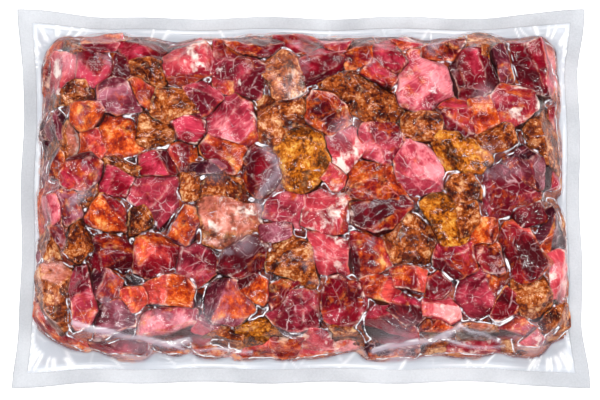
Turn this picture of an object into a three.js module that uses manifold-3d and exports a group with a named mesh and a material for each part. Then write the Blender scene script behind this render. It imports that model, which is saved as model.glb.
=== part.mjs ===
// A vacuum pack of diced, spice-rubbed tasso ham, lying on its back: a clear sealed bag drawn tight over
// two layers of hand-cut dice, with a flat margin of clear film and a welded seal all round.
// Millimetres, +Z up. The origin is the middle of the flat underside. +X runs along the pack's long side
// and +Y towards its back edge.
import * as THREE from "three";
import { ConvexGeometry } from "three/addons/geometries/ConvexGeometry.js";
import { mergeVertices } from "three/addons/utils/BufferGeometryUtils.js";
import Module from "manifold-3d";

const wasm = await Module();
wasm.setup();

const WELD_DISTANCE = 1e-4; // corners closer than this are one

// The bag, as the filled pack measures over its welded margin.
const PACK_LENGTH = 354;
const PACK_WIDTH = 237;
const SEAL_WIDTH = 9.5;
const FILM_THICKNESS = 0.6; // the two welded webs
const MARGIN_ROOT = 6; // the margin starts this far inside the filling
const SEAM_HEIGHT = 8; // where the margin leaves the filling
const EDGE_HEIGHT = 3.4; // where the margin ends, drooping to the table
const EDGE_WAVE = 1.9; // the cut edge rises and falls this much
const EDGE_WAVES = [
  // share of the rise, run along x and along y to a radian, and start
  { share: 0.6, runX: 17, runY: 31, start: 0 },
  { share: 0.4, runX: -41, runY: 13, start: 1 },
];
const BACK_EDGE_PULL = 5.5; // the vacuum draws each edge in between the corners
const FRONT_EDGE_PULL = 3.4;
const SIDE_EDGE_PULL = 4.4;
const CORNER_RUN = 0.36; // share of a half edge over which a corner flares
const EDGE_RIPPLE = 0.7; // the drawn edges waver by this
const LONG_RIPPLES = 14; // radians of it from the middle of a long edge to its end
const SHORT_RIPPLES = 9;
const RIPPLE_START = 2; // the ripples of the two short edges start this far to either side
const MARGIN_COLUMNS = 14; // steps of the film's grid inside the margin
const MARGIN_ROWS = 10;

// The heap of dice inside.
const HEAP_LENGTH = 325;
const HEAP_WIDTH = 199;
const HEAP_OFFSET = -1.2; // the heap lies this much towards the front edge
const SIDE_SPLAY = 0.055; // its sides spread towards the front, as run over run
const BACK_CORNER = 11; // cut off each corner of the heap
const FRONT_CORNER = 24;
const CROWN_HEIGHT = 38.8; // tops of the dice in the middle
const SHOULDER_HEIGHT = 26; // and at the outline
const SHOULDER_RUN = 36; // over which the one falls to the other
const TOP_LAYER_OFFSET = 4; // the top layer lies this much further back than the base layer
const TOP_LAYER_DEPTH = 17;
const BASE_LAYER_TOP = 23;
const WALL_LEAN = 7; // the outline at shoulder height lies this far inside the outline at the seam
const FOOT_INSET = 9; // and the outline on the table this far
const LOWER_INSET = 1; // and the foot of the top layer this far

// How the dice sit together.
const SPREAD = 1.2; // a die is drawn this much over its size before its neighbours trim it
const GAP = 0.9;
const NEIGHBOUR_REACH = 60; // dice further apart than this never meet
const SHORTEST_SIDE = 4; // a trimmed die keeps no side shorter than this
const BEVEL_WIDTH = 2.6; // the film has rounded the edges of a top face
const BEVEL_DEPTH = 2.8;
const FOOT_BEVEL = 2.2; // and of a base die where it lies on the table
const TAPER = 0.6; // a die narrows this much on each side inside the heap
const LIFT_RANGE = 4.5; // one die stands higher than the next by up to this
const TILT_RANGE = 0.2; // slope of a top face, as rise over run
const SLOPE_STEP = 6; // the crown's slope over a die is measured this far on each side of its centre
const BASE_COLUMNS = 10;
const BASE_ROWS = 6;
const BASE_STRAY = 0.45; // a base die's place and size stray by this share of its pitch
const BASE_TURN = 1.2; // and its turn by this many radians
const BASE_SETBACK = 3.5; // a base die stands back from the outline, and twice this below the layer's top
const BASE_GIRTH_RISE = 1; // a base die is widest this far over the seam
const CORE_DROP = 8.5; // the filling between the dice lies this far under their tops
const CORE_INSET = 8;
const CORE_FOOT = 3; // its underside stands this far over the table
const CORE_ROUNDING = 3; // its top falls this much over half the shoulder

// One stream of draws for each thing that is left to chance.
const STREAM = {
  tiltX: 1,
  tiltY: 2,
  lift: 3,
  column: 4,
  row: 5,
  long: 6,
  wide: 7,
  turn: 8,
  setback: 9,
  top: 10,
};

// Each die of the top layer: centre x and y, length, width, and turn in degrees.
const DICE = [
  // the back row, from left to right
  [-141, 91, 16, 11, 20], [-125, 93, 22, 11, -8], [-96, 87, 34, 14, 0], [-26, 90, 32, 11, 5],
  [2, 93, 34, 12, 0], [22, 92, 16, 9, 0], [34, 86, 20, 17, 80], [69, 93, 18, 11, 20],
  [85, 89, 30, 13, -5], [111, 90, 14, 13, -30], [137, 78, 34, 23, -78], [124, 78, 20, 9, -70],
  [55, 83, 18, 15, -60],
  // the second row
  [-148, 75, 31, 18, 80], [-124, 77, 27, 25, -20], [-109, 75, 14, 12, 70], [-94, 75, 20, 15, -12],
  [-70, 78, 28, 24, 35], [-62, 60, 22, 20, -55], [-37, 74, 32, 27, -8], [-10, 71, 27, 19, -65],
  [13, 77, 30, 27, 8], [47, 73, 18, 13, -35], [76, 66, 35, 32, -30], [106, 75, 29, 27, 35],
  // the third row
  [-135, 60, 27, 15, -10], [-113, 58, 26, 17, -28], [-99, 65, 22, 13, -35], [-130, 46, 17, 15, 0],
  [-75, 53, 26, 19, -10], [-71, 38, 22, 12, -15], [-42, 42, 34, 27, -30], [-47, 24, 24, 20, -50],
  [-19, 45, 25, 20, 80], [-2, 48, 18, 16, 0], [16, 47, 27, 18, -35], [42, 58, 38, 24, -28],
  [20, 64, 14, 10, 20], [73, 40, 20, 18, -3], [97, 45, 21, 17, -65], [112, 48, 18, 15, -60],
  [130, 51, 29, 24, -38], [119, 33, 17, 13, 15], [148, 35, 34, 17, -78],
  // the fourth row
  [-150, 39, 14, 12, 50], [-143, 31, 20, 16, 60], [-128, 29, 20, 17, -35], [-110, 34, 31, 27, -15],
  [-85, 34, 28, 19, -35], [2, 19, 38, 30, -50], [27, 26, 28, 20, 50], [50, 30, 25, 21, -35],
  [98, 23, 27, 24, 10], [72, 12, 30, 25, -65], [137, 15, 27, 21, -50],
  // the fifth row
  [-133, 10, 23, 20, -45], [-153, 6, 16, 12, 80], [-149, 18, 16, 9, -80], [-108, 13, 22, 8, -22],
  [-111, 5, 24, 15, -18], [-87, -4, 35, 29, -42], [-71, 20, 22, 18, 15], [-87, 16, 17, 12, 12],
  [-58, 12, 24, 8, 8], [-66, 1, 16, 13, -10], [-27, 12, 23, 22, -30], [-44, -1, 31, 15, -10],
  [19, 9, 15, 10, -40], [44, 7, 34, 22, -15], [98, 1, 19, 14, -60], [125, -2, 33, 28, -12],
  // the sixth row
  [-141, -10, 24, 14, -80], [-129, -4, 11, 13, 0], [-116, -13, 28, 17, -10], [-153, -14, 20, 11, -80],
  [-154, -33, 18, 10, -75], [-147, -26, 22, 8, -70], [-99, -18, 14, 11, 20], [-69, -21, 17, 12, 60],
  [-45, -19, 37, 24, -6], [-9, -10, 24, 19, 75], [16, -12, 32, 22, -18], [48, -14, 30, 17, 12],
  [-16, -26, 17, 10, 10], [66, -29, 32, 26, -15], [88, -17, 27, 19, -60], [100, -15, 18, 11, -80],
  [111, -25, 15, 12, 0], [150, -26, 20, 16, -60], [139, -16, 14, 9, 20],
  // the seventh row
  [-134, -30, 19, 17, 45], [-116, -41, 29, 27, -40], [-88, -41, 29, 24, -25], [-80, -61, 28, 18, -8],
  [-62, -45, 24, 20, -25], [-34, -45, 25, 24, -25], [-6, -44, 31, 21, -28], [17, -39, 26, 20, -25],
  [40, -39, 25, 23, 0], [94, -42, 23, 17, 5], [115, -40, 19, 12, -60], [132, -37, 29, 26, -55],
  [157, -55, 30, 10, -88], [66, -55, 27, 11, -3],
  // the eighth row
  [-150, -63, 34, 23, -60], [-132, -64, 32, 14, -82], [-119, -59, 17, 14, -30], [-112, -75, 20, 17, 5],
  [-102, -67, 12, 12, 0], [-82, -81, 36, 20, -14], [-57, -82, 17, 10, 0], [-47, -68, 34, 20, -8],
  [-28, -59, 17, 11, -35], [-12, -61, 18, 11, 30], [-1, -73, 34, 22, 10], [26, -68, 24, 23, -30],
  [50, -60, 28, 13, -12], [64, -71, 23, 19, -25], [84, -72, 22, 18, 15], [82, -58, 13, 12, 40],
  [107, -63, 34, 30, -42], [124, -71, 15, 11, 60], [140, -64, 25, 24, 20], [154, -76, 22, 12, 35],
  // the front row
  [-47, -90, 22, 15, 0], [-25, -90, 23, 21, -20], [3, -93, 27, 14, -5], [28, -88, 18, 12, -55],
  [51, -85, 32, 24, -20], [79, -84, 26, 13, 8], [109, -87, 24, 13, -5], [128, -84, 20, 15, -20],
  [137, -93, 16, 10, 35],
].map(([x, y, long, wide, turn], index) => ({
  x,
  y: y + HEAP_OFFSET,
  long,
  wide,
  turn: THREE.MathUtils.degToRad(turn),
  index,
}));

// The base layer: dice of the common size in loose rows.
const BASE_DICE = Array.from({ length: BASE_COLUMNS * BASE_ROWS }, (_, index) => {
  const pitchX = HEAP_LENGTH / BASE_COLUMNS;
  const pitchY = HEAP_WIDTH / BASE_ROWS;
  const column = (index % BASE_COLUMNS) + 0.5 + BASE_STRAY * (draw(index, STREAM.column) - 0.5);
  const row = Math.floor(index / BASE_COLUMNS) + 0.5 + BASE_STRAY * (draw(index, STREAM.row) - 0.5);
  return {
    x: pitchX * column - HEAP_LENGTH / 2,
    y: pitchY * row - HEAP_WIDTH / 2 + HEAP_OFFSET,
    long: pitchX * (1 + BASE_STRAY * draw(index, STREAM.long)),
    wide: pitchY * (1 + BASE_STRAY * draw(index, STREAM.wide)),
    turn: BASE_TURN * (draw(index, STREAM.turn) - 0.5),
    index,
  };
});

// A repeatable draw from 0 to 1 for one die; each use has a stream of its own.
function draw(index, stream) {
  const wave = Math.sin(index * 12.9898 + stream * 78.233) * 43758.5453;
  return wave - Math.floor(wave);
}

// How far a die reaches from its centre along a direction.
function reach(die, ux, uy) {
  const along = Math.abs(ux * Math.cos(die.turn) + uy * Math.sin(die.turn));
  const across = Math.abs(uy * Math.cos(die.turn) - ux * Math.sin(die.turn));
  return (die.long * along + die.wide * across) / 2;
}

// The corners of a die's top, drawn over its size.
function spreadCorners(die) {
  const signs = [[1, 1], [-1, 1], [-1, -1], [1, -1]];
  return signs.map(([along, across]) => {
    const corner = new THREE.Vector2(along * die.long, across * die.wide).multiplyScalar(SPREAD / 2);
    return corner.rotateAround(new THREE.Vector2(), die.turn).add(new THREE.Vector2(die.x, die.y));
  });
}

// What is left of a convex polygon on the inner side of the line where normal . point = limit.
function cut(polygon, normal, limit) {
  const kept = [];
  polygon.forEach((point, i) => {
    const next = polygon[(i + 1) % polygon.length];
    const here = normal.dot(point) - limit;
    const there = normal.dot(next) - limit;
    if (here <= 0) kept.push(point);
    if (here * there < 0) kept.push(point.clone().lerp(next, here / (here - there)));
  });
  return kept;
}

// A die cut back from each neighbour, on the line that shares the room between them by their sizes. Sides
// shorter than the knife would leave are dropped.
function trimmed(die, dice) {
  let polygon = spreadCorners(die);
  for (const other of dice) {
    const towards = new THREE.Vector2(other.x - die.x, other.y - die.y);
    const distance = towards.length();
    if (other === die || distance > NEIGHBOUR_REACH) continue;
    towards.divideScalar(distance);
    const own = reach(die, towards.x, towards.y);
    const share = own / (own + reach(other, towards.x, towards.y));
    const limit = towards.x * die.x + towards.y * die.y + distance * share - GAP / 2;
    polygon = cut(polygon, towards, limit);
  }
  return polygon.filter((point, i) => point.distanceTo(polygon[(i + 1) % polygon.length]) > SHORTEST_SIDE);
}

// A polygon kept inside the heap's outline: a rectangle with splayed sides and cut corners, drawn in by
// inset and moved back by offset.
function insideHeap(polygon, inset, offset) {
  const halfLength = HEAP_LENGTH / 2 - inset;
  const halfWidth = HEAP_WIDTH / 2 - inset;
  const centre = HEAP_OFFSET + offset;
  let kept = polygon;
  for (const side of [-1, 1]) {
    kept = cut(kept, new THREE.Vector2(side, SIDE_SPLAY), halfLength);
    kept = cut(kept, new THREE.Vector2(0, side), halfWidth + side * centre);
    const corner = side > 0 ? BACK_CORNER : FRONT_CORNER;
    for (const end of [-1, 1]) {
      kept = cut(kept, new THREE.Vector2(end, side), halfLength + halfWidth - corner + side * centre);
    }
  }
  return kept;
}

// A convex polygon with every side moved in by inset.
function shrunk(polygon, inset) {
  let kept = polygon;
  polygon.forEach((point, i) => {
    const next = polygon[(i + 1) % polygon.length];
    const outward = new THREE.Vector2(next.y - point.y, point.x - next.x).normalize();
    kept = cut(kept, outward, outward.dot(point) - inset);
  });
  return kept;
}

// Height of the heap's crown over a point: level in the middle, falling to the shoulder at the outline.
function crown(x, y) {
  const middle = HEAP_OFFSET + TOP_LAYER_OFFSET;
  const room = Math.min(HEAP_LENGTH / 2 - Math.abs(x), HEAP_WIDTH / 2 - Math.abs(y - middle));
  const share = THREE.MathUtils.clamp(room / SHOULDER_RUN, 0, 1);
  return SHOULDER_HEIGHT + (CROWN_HEIGHT - SHOULDER_HEIGHT) * Math.sin((share * Math.PI) / 2);
}

// The plane of a die's top face, as a function that gives its height over a point.
function topFace(die) {
  const span = 2 * SLOPE_STEP;
  const fallX = (crown(die.x + SLOPE_STEP, die.y) - crown(die.x - SLOPE_STEP, die.y)) / span;
  const fallY = (crown(die.x, die.y + SLOPE_STEP) - crown(die.x, die.y - SLOPE_STEP)) / span;
  const slopeX = fallX + TILT_RANGE * (draw(die.index, STREAM.tiltX) - 0.5);
  const slopeY = fallY + TILT_RANGE * (draw(die.index, STREAM.tiltY) - 0.5);
  const height = crown(die.x, die.y) + LIFT_RANGE * (draw(die.index, STREAM.lift) - 0.5);
  return (x, y) => height + slopeX * (x - die.x) + slopeY * (y - die.y);
}

// Points of a ring of a die: the polygon drawn in by inset, each at the height that level gives.
function ring(polygon, inset, level) {
  return shrunk(polygon, inset).map(({ x, y }) => new THREE.Vector3(x, y, level(x, y)));
}

// A die of the top layer: a tilted top face with edges that the film has rounded, and walls that lean
// outwards where the die stands at the heap's outline.
function topDie(die) {
  const plan = trimmed(die, DICE);
  const face = topFace(die);
  const upper = insideHeap(plan, WALL_LEAN, TOP_LAYER_OFFSET);
  const lower = insideHeap(plan, LOWER_INSET, 0);
  return new ConvexGeometry([
    ...ring(upper, BEVEL_WIDTH, face),
    ...ring(upper, 0, (x, y) => face(x, y) - BEVEL_DEPTH),
    ...ring(lower, TAPER, () => face(die.x, die.y) - TOP_LAYER_DEPTH),
  ]);
}

// A die of the base layer: pressed flat on the table, widest at the height of the seam, and where it
// stands at the heap's outline, a little back from it.
function baseDie(die) {
  const plan = trimmed(die, BASE_DICE);
  const back = BASE_SETBACK * draw(die.index, STREAM.setback);
  const top = BASE_LAYER_TOP - 2 * BASE_SETBACK * draw(die.index, STREAM.top);
  return new ConvexGeometry([
    ...ring(insideHeap(plan, back + FOOT_INSET, 0), FOOT_BEVEL, () => 0),
    ...ring(insideHeap(plan, back, 0), 0, () => SEAM_HEIGHT + BASE_GIRTH_RISE),
    ...ring(insideHeap(plan, back + WALL_LEAN / 2, 0), TAPER, () => top),
  ]);
}

// The filling that shows between the dice: one loaf under their tops.
function core() {
  const box = spreadCorners({ x: 0, y: 0, long: PACK_LENGTH, wide: PACK_WIDTH, turn: 0 });
  const loop = (inset, height) => ring(insideHeap(box, inset, 0), 0, () => height);
  return new ConvexGeometry([
    ...loop(CORE_INSET + FOOT_INSET, CORE_FOOT),
    ...loop(CORE_INSET, SEAM_HEIGHT),
    ...loop(CORE_INSET + WALL_LEAN, SHOULDER_HEIGHT - CORE_DROP),
    ...loop(CORE_INSET + SHOULDER_RUN / 2, CROWN_HEIGHT - CORE_DROP - CORE_ROUNDING),
    ...loop(CORE_INSET + SHOULDER_RUN, CROWN_HEIGHT - CORE_DROP),
  ]);
}

// Grid lines across one direction of the margin: the cut edge, the seal's inner line, the middle of the
// clear strip and the margin's root on each side, and even steps between.
function gridLines(full, root, steps) {
  const seal = full / 2 - SEAL_WIDTH;
  const outer = [full / 2, seal, (seal + root) / 2, root];
  const between = Array.from({ length: steps - 1 }, (_, i) => root * (1 - (2 * (i + 1)) / steps));
  return [...outer, ...between, ...outer.map((line) => -line).reverse()].reverse();
}

// Share of the way out across the margin, from 0 at its root to 1 at the cut edge.
function wayOut(distance, full, root) {
  return THREE.MathUtils.clamp((Math.abs(distance) - root) / (full / 2 - root), 0, 1);
}

// How far the vacuum has drawn a cut edge in, at a share of the way from its middle to its corner.
function edgePull(share, full, ripple) {
  const fromCorner = THREE.MathUtils.smoothstep(1 - Math.abs(share), 0, CORNER_RUN);
  return fromCorner * (full + EDGE_RIPPLE * Math.sin(ripple));
}

// How far the cut edge rises over a point.
function edgeRise(x, y) {
  const rises = EDGE_WAVES.map((wave) => wave.share * Math.sin(x / wave.runX + y / wave.runY + wave.start));
  return EDGE_WAVE * rises.reduce((sum, rise) => sum + rise);
}

// The margin of clear film: one thin sheet through the whole pack at the seam, drooping to the table,
// with a wavy cut edge that the vacuum has drawn in between the corners.
function margin() {
  const rootX = HEAP_LENGTH / 2 - MARGIN_ROOT;
  const rootY = HEAP_WIDTH / 2 - MARGIN_ROOT;
  const columns = gridLines(PACK_LENGTH, rootX, MARGIN_COLUMNS);
  const rows = gridLines(PACK_WIDTH, rootY, MARGIN_ROWS);
  const sheet = new THREE.BoxGeometry(1, 1, 1, columns.length - 1, rows.length - 1, 1);
  const places = sheet.getAttribute("position");
  for (let i = 0; i < places.count; i++) {
    const column = columns[Math.round((places.getX(i) + 0.5) * (columns.length - 1))];
    const row = rows[Math.round((places.getY(i) + 0.5) * (rows.length - 1))];
    const u = column / (PACK_LENGTH / 2);
    const v = row / (PACK_WIDTH / 2);
    const shortRipple = SHORT_RIPPLES * v + RIPPLE_START * Math.sign(u);
    const x = column - u ** 3 * edgePull(v, SIDE_EDGE_PULL, shortRipple);
    const y = row - v ** 3 * edgePull(u, v > 0 ? BACK_EDGE_PULL : FRONT_EDGE_PULL, LONG_RIPPLES * u);
    const out = Math.max(wayOut(column, PACK_LENGTH, rootX), wayOut(row, PACK_WIDTH, rootY));
    const height = SEAM_HEIGHT + out * (EDGE_HEIGHT - SEAM_HEIGHT + edgeRise(x, y));
    places.setXYZ(i, x, y, height + FILM_THICKNESS * places.getZ(i));
  }
  return sheet;
}

// A closed geometry as a solid that can be joined.
function solidOf(geometry) {
  const bare = geometry.clone();
  bare.deleteAttribute("normal");
  bare.deleteAttribute("uv");
  const merged = mergeVertices(bare, WELD_DISTANCE);
  return new wasm.Manifold(
    new wasm.Mesh({
      numProp: 3,
      vertProperties: Float32Array.from(merged.getAttribute("position").array),
      triVerts: Uint32Array.from(merged.index.array),
    }),
  );
}

// The geometries joined into one, without any hollow that the joining has sealed.
function fused(geometries) {
  const joined = geometries.map(solidOf).reduce((whole, piece) => whole.add(piece));
  const outer = joined.decompose().reduce((a, b) => (a.volume() > b.volume() ? a : b));
  const mesh = outer.getMesh();
  const geometry = new THREE.BufferGeometry();
  geometry.setAttribute("position", new THREE.BufferAttribute(mesh.vertProperties, 3));
  geometry.setIndex(new THREE.BufferAttribute(mesh.triVerts, 1));
  return geometry.toNonIndexed();
}

const pack = fused([core(), margin(), ...DICE.map(topDie), ...BASE_DICE.map(baseDie)]);
pack.computeVertexNormals();

const ham = new THREE.MeshStandardMaterial({ color: 0x8e2f2a, roughness: 0.28, metalness: 0 });
const sealedPack = new THREE.Mesh(pack, ham);
sealedPack.name = "sealed_pack";

const object = new THREE.Group();
object.add(sealedPack);
export default object;
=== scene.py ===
"""Vacuum pack of diced tasso ham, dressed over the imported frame.

The bag lies on its back. Two layers of hand-cut dice are built in mesh, the juice between them and the
clear film are drawn down over them, and the margin ends in a welded seal. Lengths are in millimetres until
a mesh is written, and then in metres.
"""

from __future__ import annotations

import logging
import math
from dataclasses import dataclass, field
from enum import Enum

import bmesh
import bpy
import numpy as np
from mathutils import Euler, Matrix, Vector, noise
from mathutils.bvhtree import BVHTree

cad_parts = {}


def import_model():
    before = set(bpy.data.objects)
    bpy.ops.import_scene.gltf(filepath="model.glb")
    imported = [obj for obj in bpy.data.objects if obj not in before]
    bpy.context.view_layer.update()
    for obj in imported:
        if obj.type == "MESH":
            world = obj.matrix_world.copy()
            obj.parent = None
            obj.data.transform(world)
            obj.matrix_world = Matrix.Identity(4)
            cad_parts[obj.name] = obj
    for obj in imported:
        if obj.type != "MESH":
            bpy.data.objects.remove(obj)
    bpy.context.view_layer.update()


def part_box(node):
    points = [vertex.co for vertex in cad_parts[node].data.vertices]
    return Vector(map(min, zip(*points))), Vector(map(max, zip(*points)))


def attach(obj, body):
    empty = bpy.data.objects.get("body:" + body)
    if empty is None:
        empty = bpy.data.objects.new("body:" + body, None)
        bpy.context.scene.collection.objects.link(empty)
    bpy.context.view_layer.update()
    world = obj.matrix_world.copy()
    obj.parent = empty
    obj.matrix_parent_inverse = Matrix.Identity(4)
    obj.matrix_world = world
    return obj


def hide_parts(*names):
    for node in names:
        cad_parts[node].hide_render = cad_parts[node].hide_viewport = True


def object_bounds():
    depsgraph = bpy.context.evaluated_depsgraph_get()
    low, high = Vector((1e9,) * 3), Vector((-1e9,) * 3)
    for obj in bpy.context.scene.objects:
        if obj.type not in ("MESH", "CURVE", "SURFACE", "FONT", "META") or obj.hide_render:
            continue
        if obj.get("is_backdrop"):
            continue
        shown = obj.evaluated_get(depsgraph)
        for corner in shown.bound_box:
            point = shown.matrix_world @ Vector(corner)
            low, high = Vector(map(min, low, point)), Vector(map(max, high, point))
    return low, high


LOG = logging.getLogger("vacuum_pack")
METRE = 1000.0  # millimetres in one
NODE = "sealed_pack"
BODY = "root"

Point = tuple[float, float]
Socket = bpy.types.NodeSocket
# Inputs and output of a Mix node that mixes colours, and inputs of a Map Range node
SHARE, UNDER, OVER, MIXED = 0, 6, 7, 2
VALUE, LOW, HIGH, START, END = 0, 1, 2, 3, 4


def linear(hex_colour: str) -> tuple[float, float, float, float]:
    """Turn an sRGB hex colour to linear light.

    Args:
        hex_colour: six hex digits after a hash sign.

    Returns:
        Red, green, blue and an alpha of 1.
    """
    channels = [int(hex_colour[i : i + 2], 16) / 255.0 for i in (1, 3, 5)]
    light = [c / 12.92 if c <= 0.04045 else ((c + 0.055) / 1.055) ** 2.4 for c in channels]
    return (light[0], light[1], light[2], 1.0)


def per_size(millimetres: float) -> float:
    """Texture scale at which one feature measures this many millimetres."""
    return METRE / millimetres


def draw(index: int, stream: int) -> float:
    """Repeatable draw from 0 to 1 for one die; each use has a stream of its own."""
    wave = math.sin(index * 12.9898 + stream * 78.233) * 43758.5453
    return wave - math.floor(wave)


def smoothstep(values: np.ndarray, low: float, high: float) -> np.ndarray:
    """Rise smoothly from 0 at low to 1 at high."""
    share = np.clip((values - low) / (high - low), 0.0, 1.0)
    return share * share * (3.0 - 2.0 * share)


def add(
    tree: bpy.types.NodeTree,
    kind: str,
    links: dict[str | int, object] | None = None,
    out: str | int = 0,
    **settings: object,
) -> Socket | None:
    """Add a shader node.

    Args:
        tree: the material's node tree.
        kind: the node's type, without the word ShaderNode.
        links: for each input, the socket that feeds it or the value that it holds.
        out: which output is wanted.
        settings: properties of the node; stops is a list of place and colour for a ramp.

    Returns:
        That output, or nothing for a node without outputs.
    """
    node = tree.nodes.new("ShaderNode" + kind)
    for name, value in settings.items():
        if name == "stops":
            ramp = node.color_ramp.elements
            while len(ramp) < len(value):
                ramp.new(1.0)
            for element, (place, colour) in zip(ramp, value):
                element.position = place
                element.color = linear(colour)
        else:
            setattr(node, name, value)
    for name, value in (links or {}).items():
        if isinstance(value, Socket):
            tree.links.new(value, node.inputs[name])
        else:
            node.inputs[name].default_value = value
    return node.outputs[out] if node.outputs else None


def blank(name: str) -> bpy.types.Material:
    """New material without nodes.

    Args:
        name: the material's name.

    Returns:
        The material.
    """
    material = bpy.data.materials.new(name)
    material.use_nodes = True
    material.node_tree.nodes.clear()
    return material


def closed(material: bpy.types.Material, surface: Socket) -> bpy.types.Material:
    """Join the last shader to the output of a material."""
    add(material.node_tree, "OutputMaterial", {"Surface": surface})
    return material


class Cut(Enum):
    """What a die shows on its face."""

    LEAN = "lean"
    PINK = "pink"
    DULL = "dull"
    FATTY = "fatty"
    SMEARED = "smeared"
    SPICED = "spiced"
    OCHRE = "ochre"
    PALE = "pale"


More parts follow.
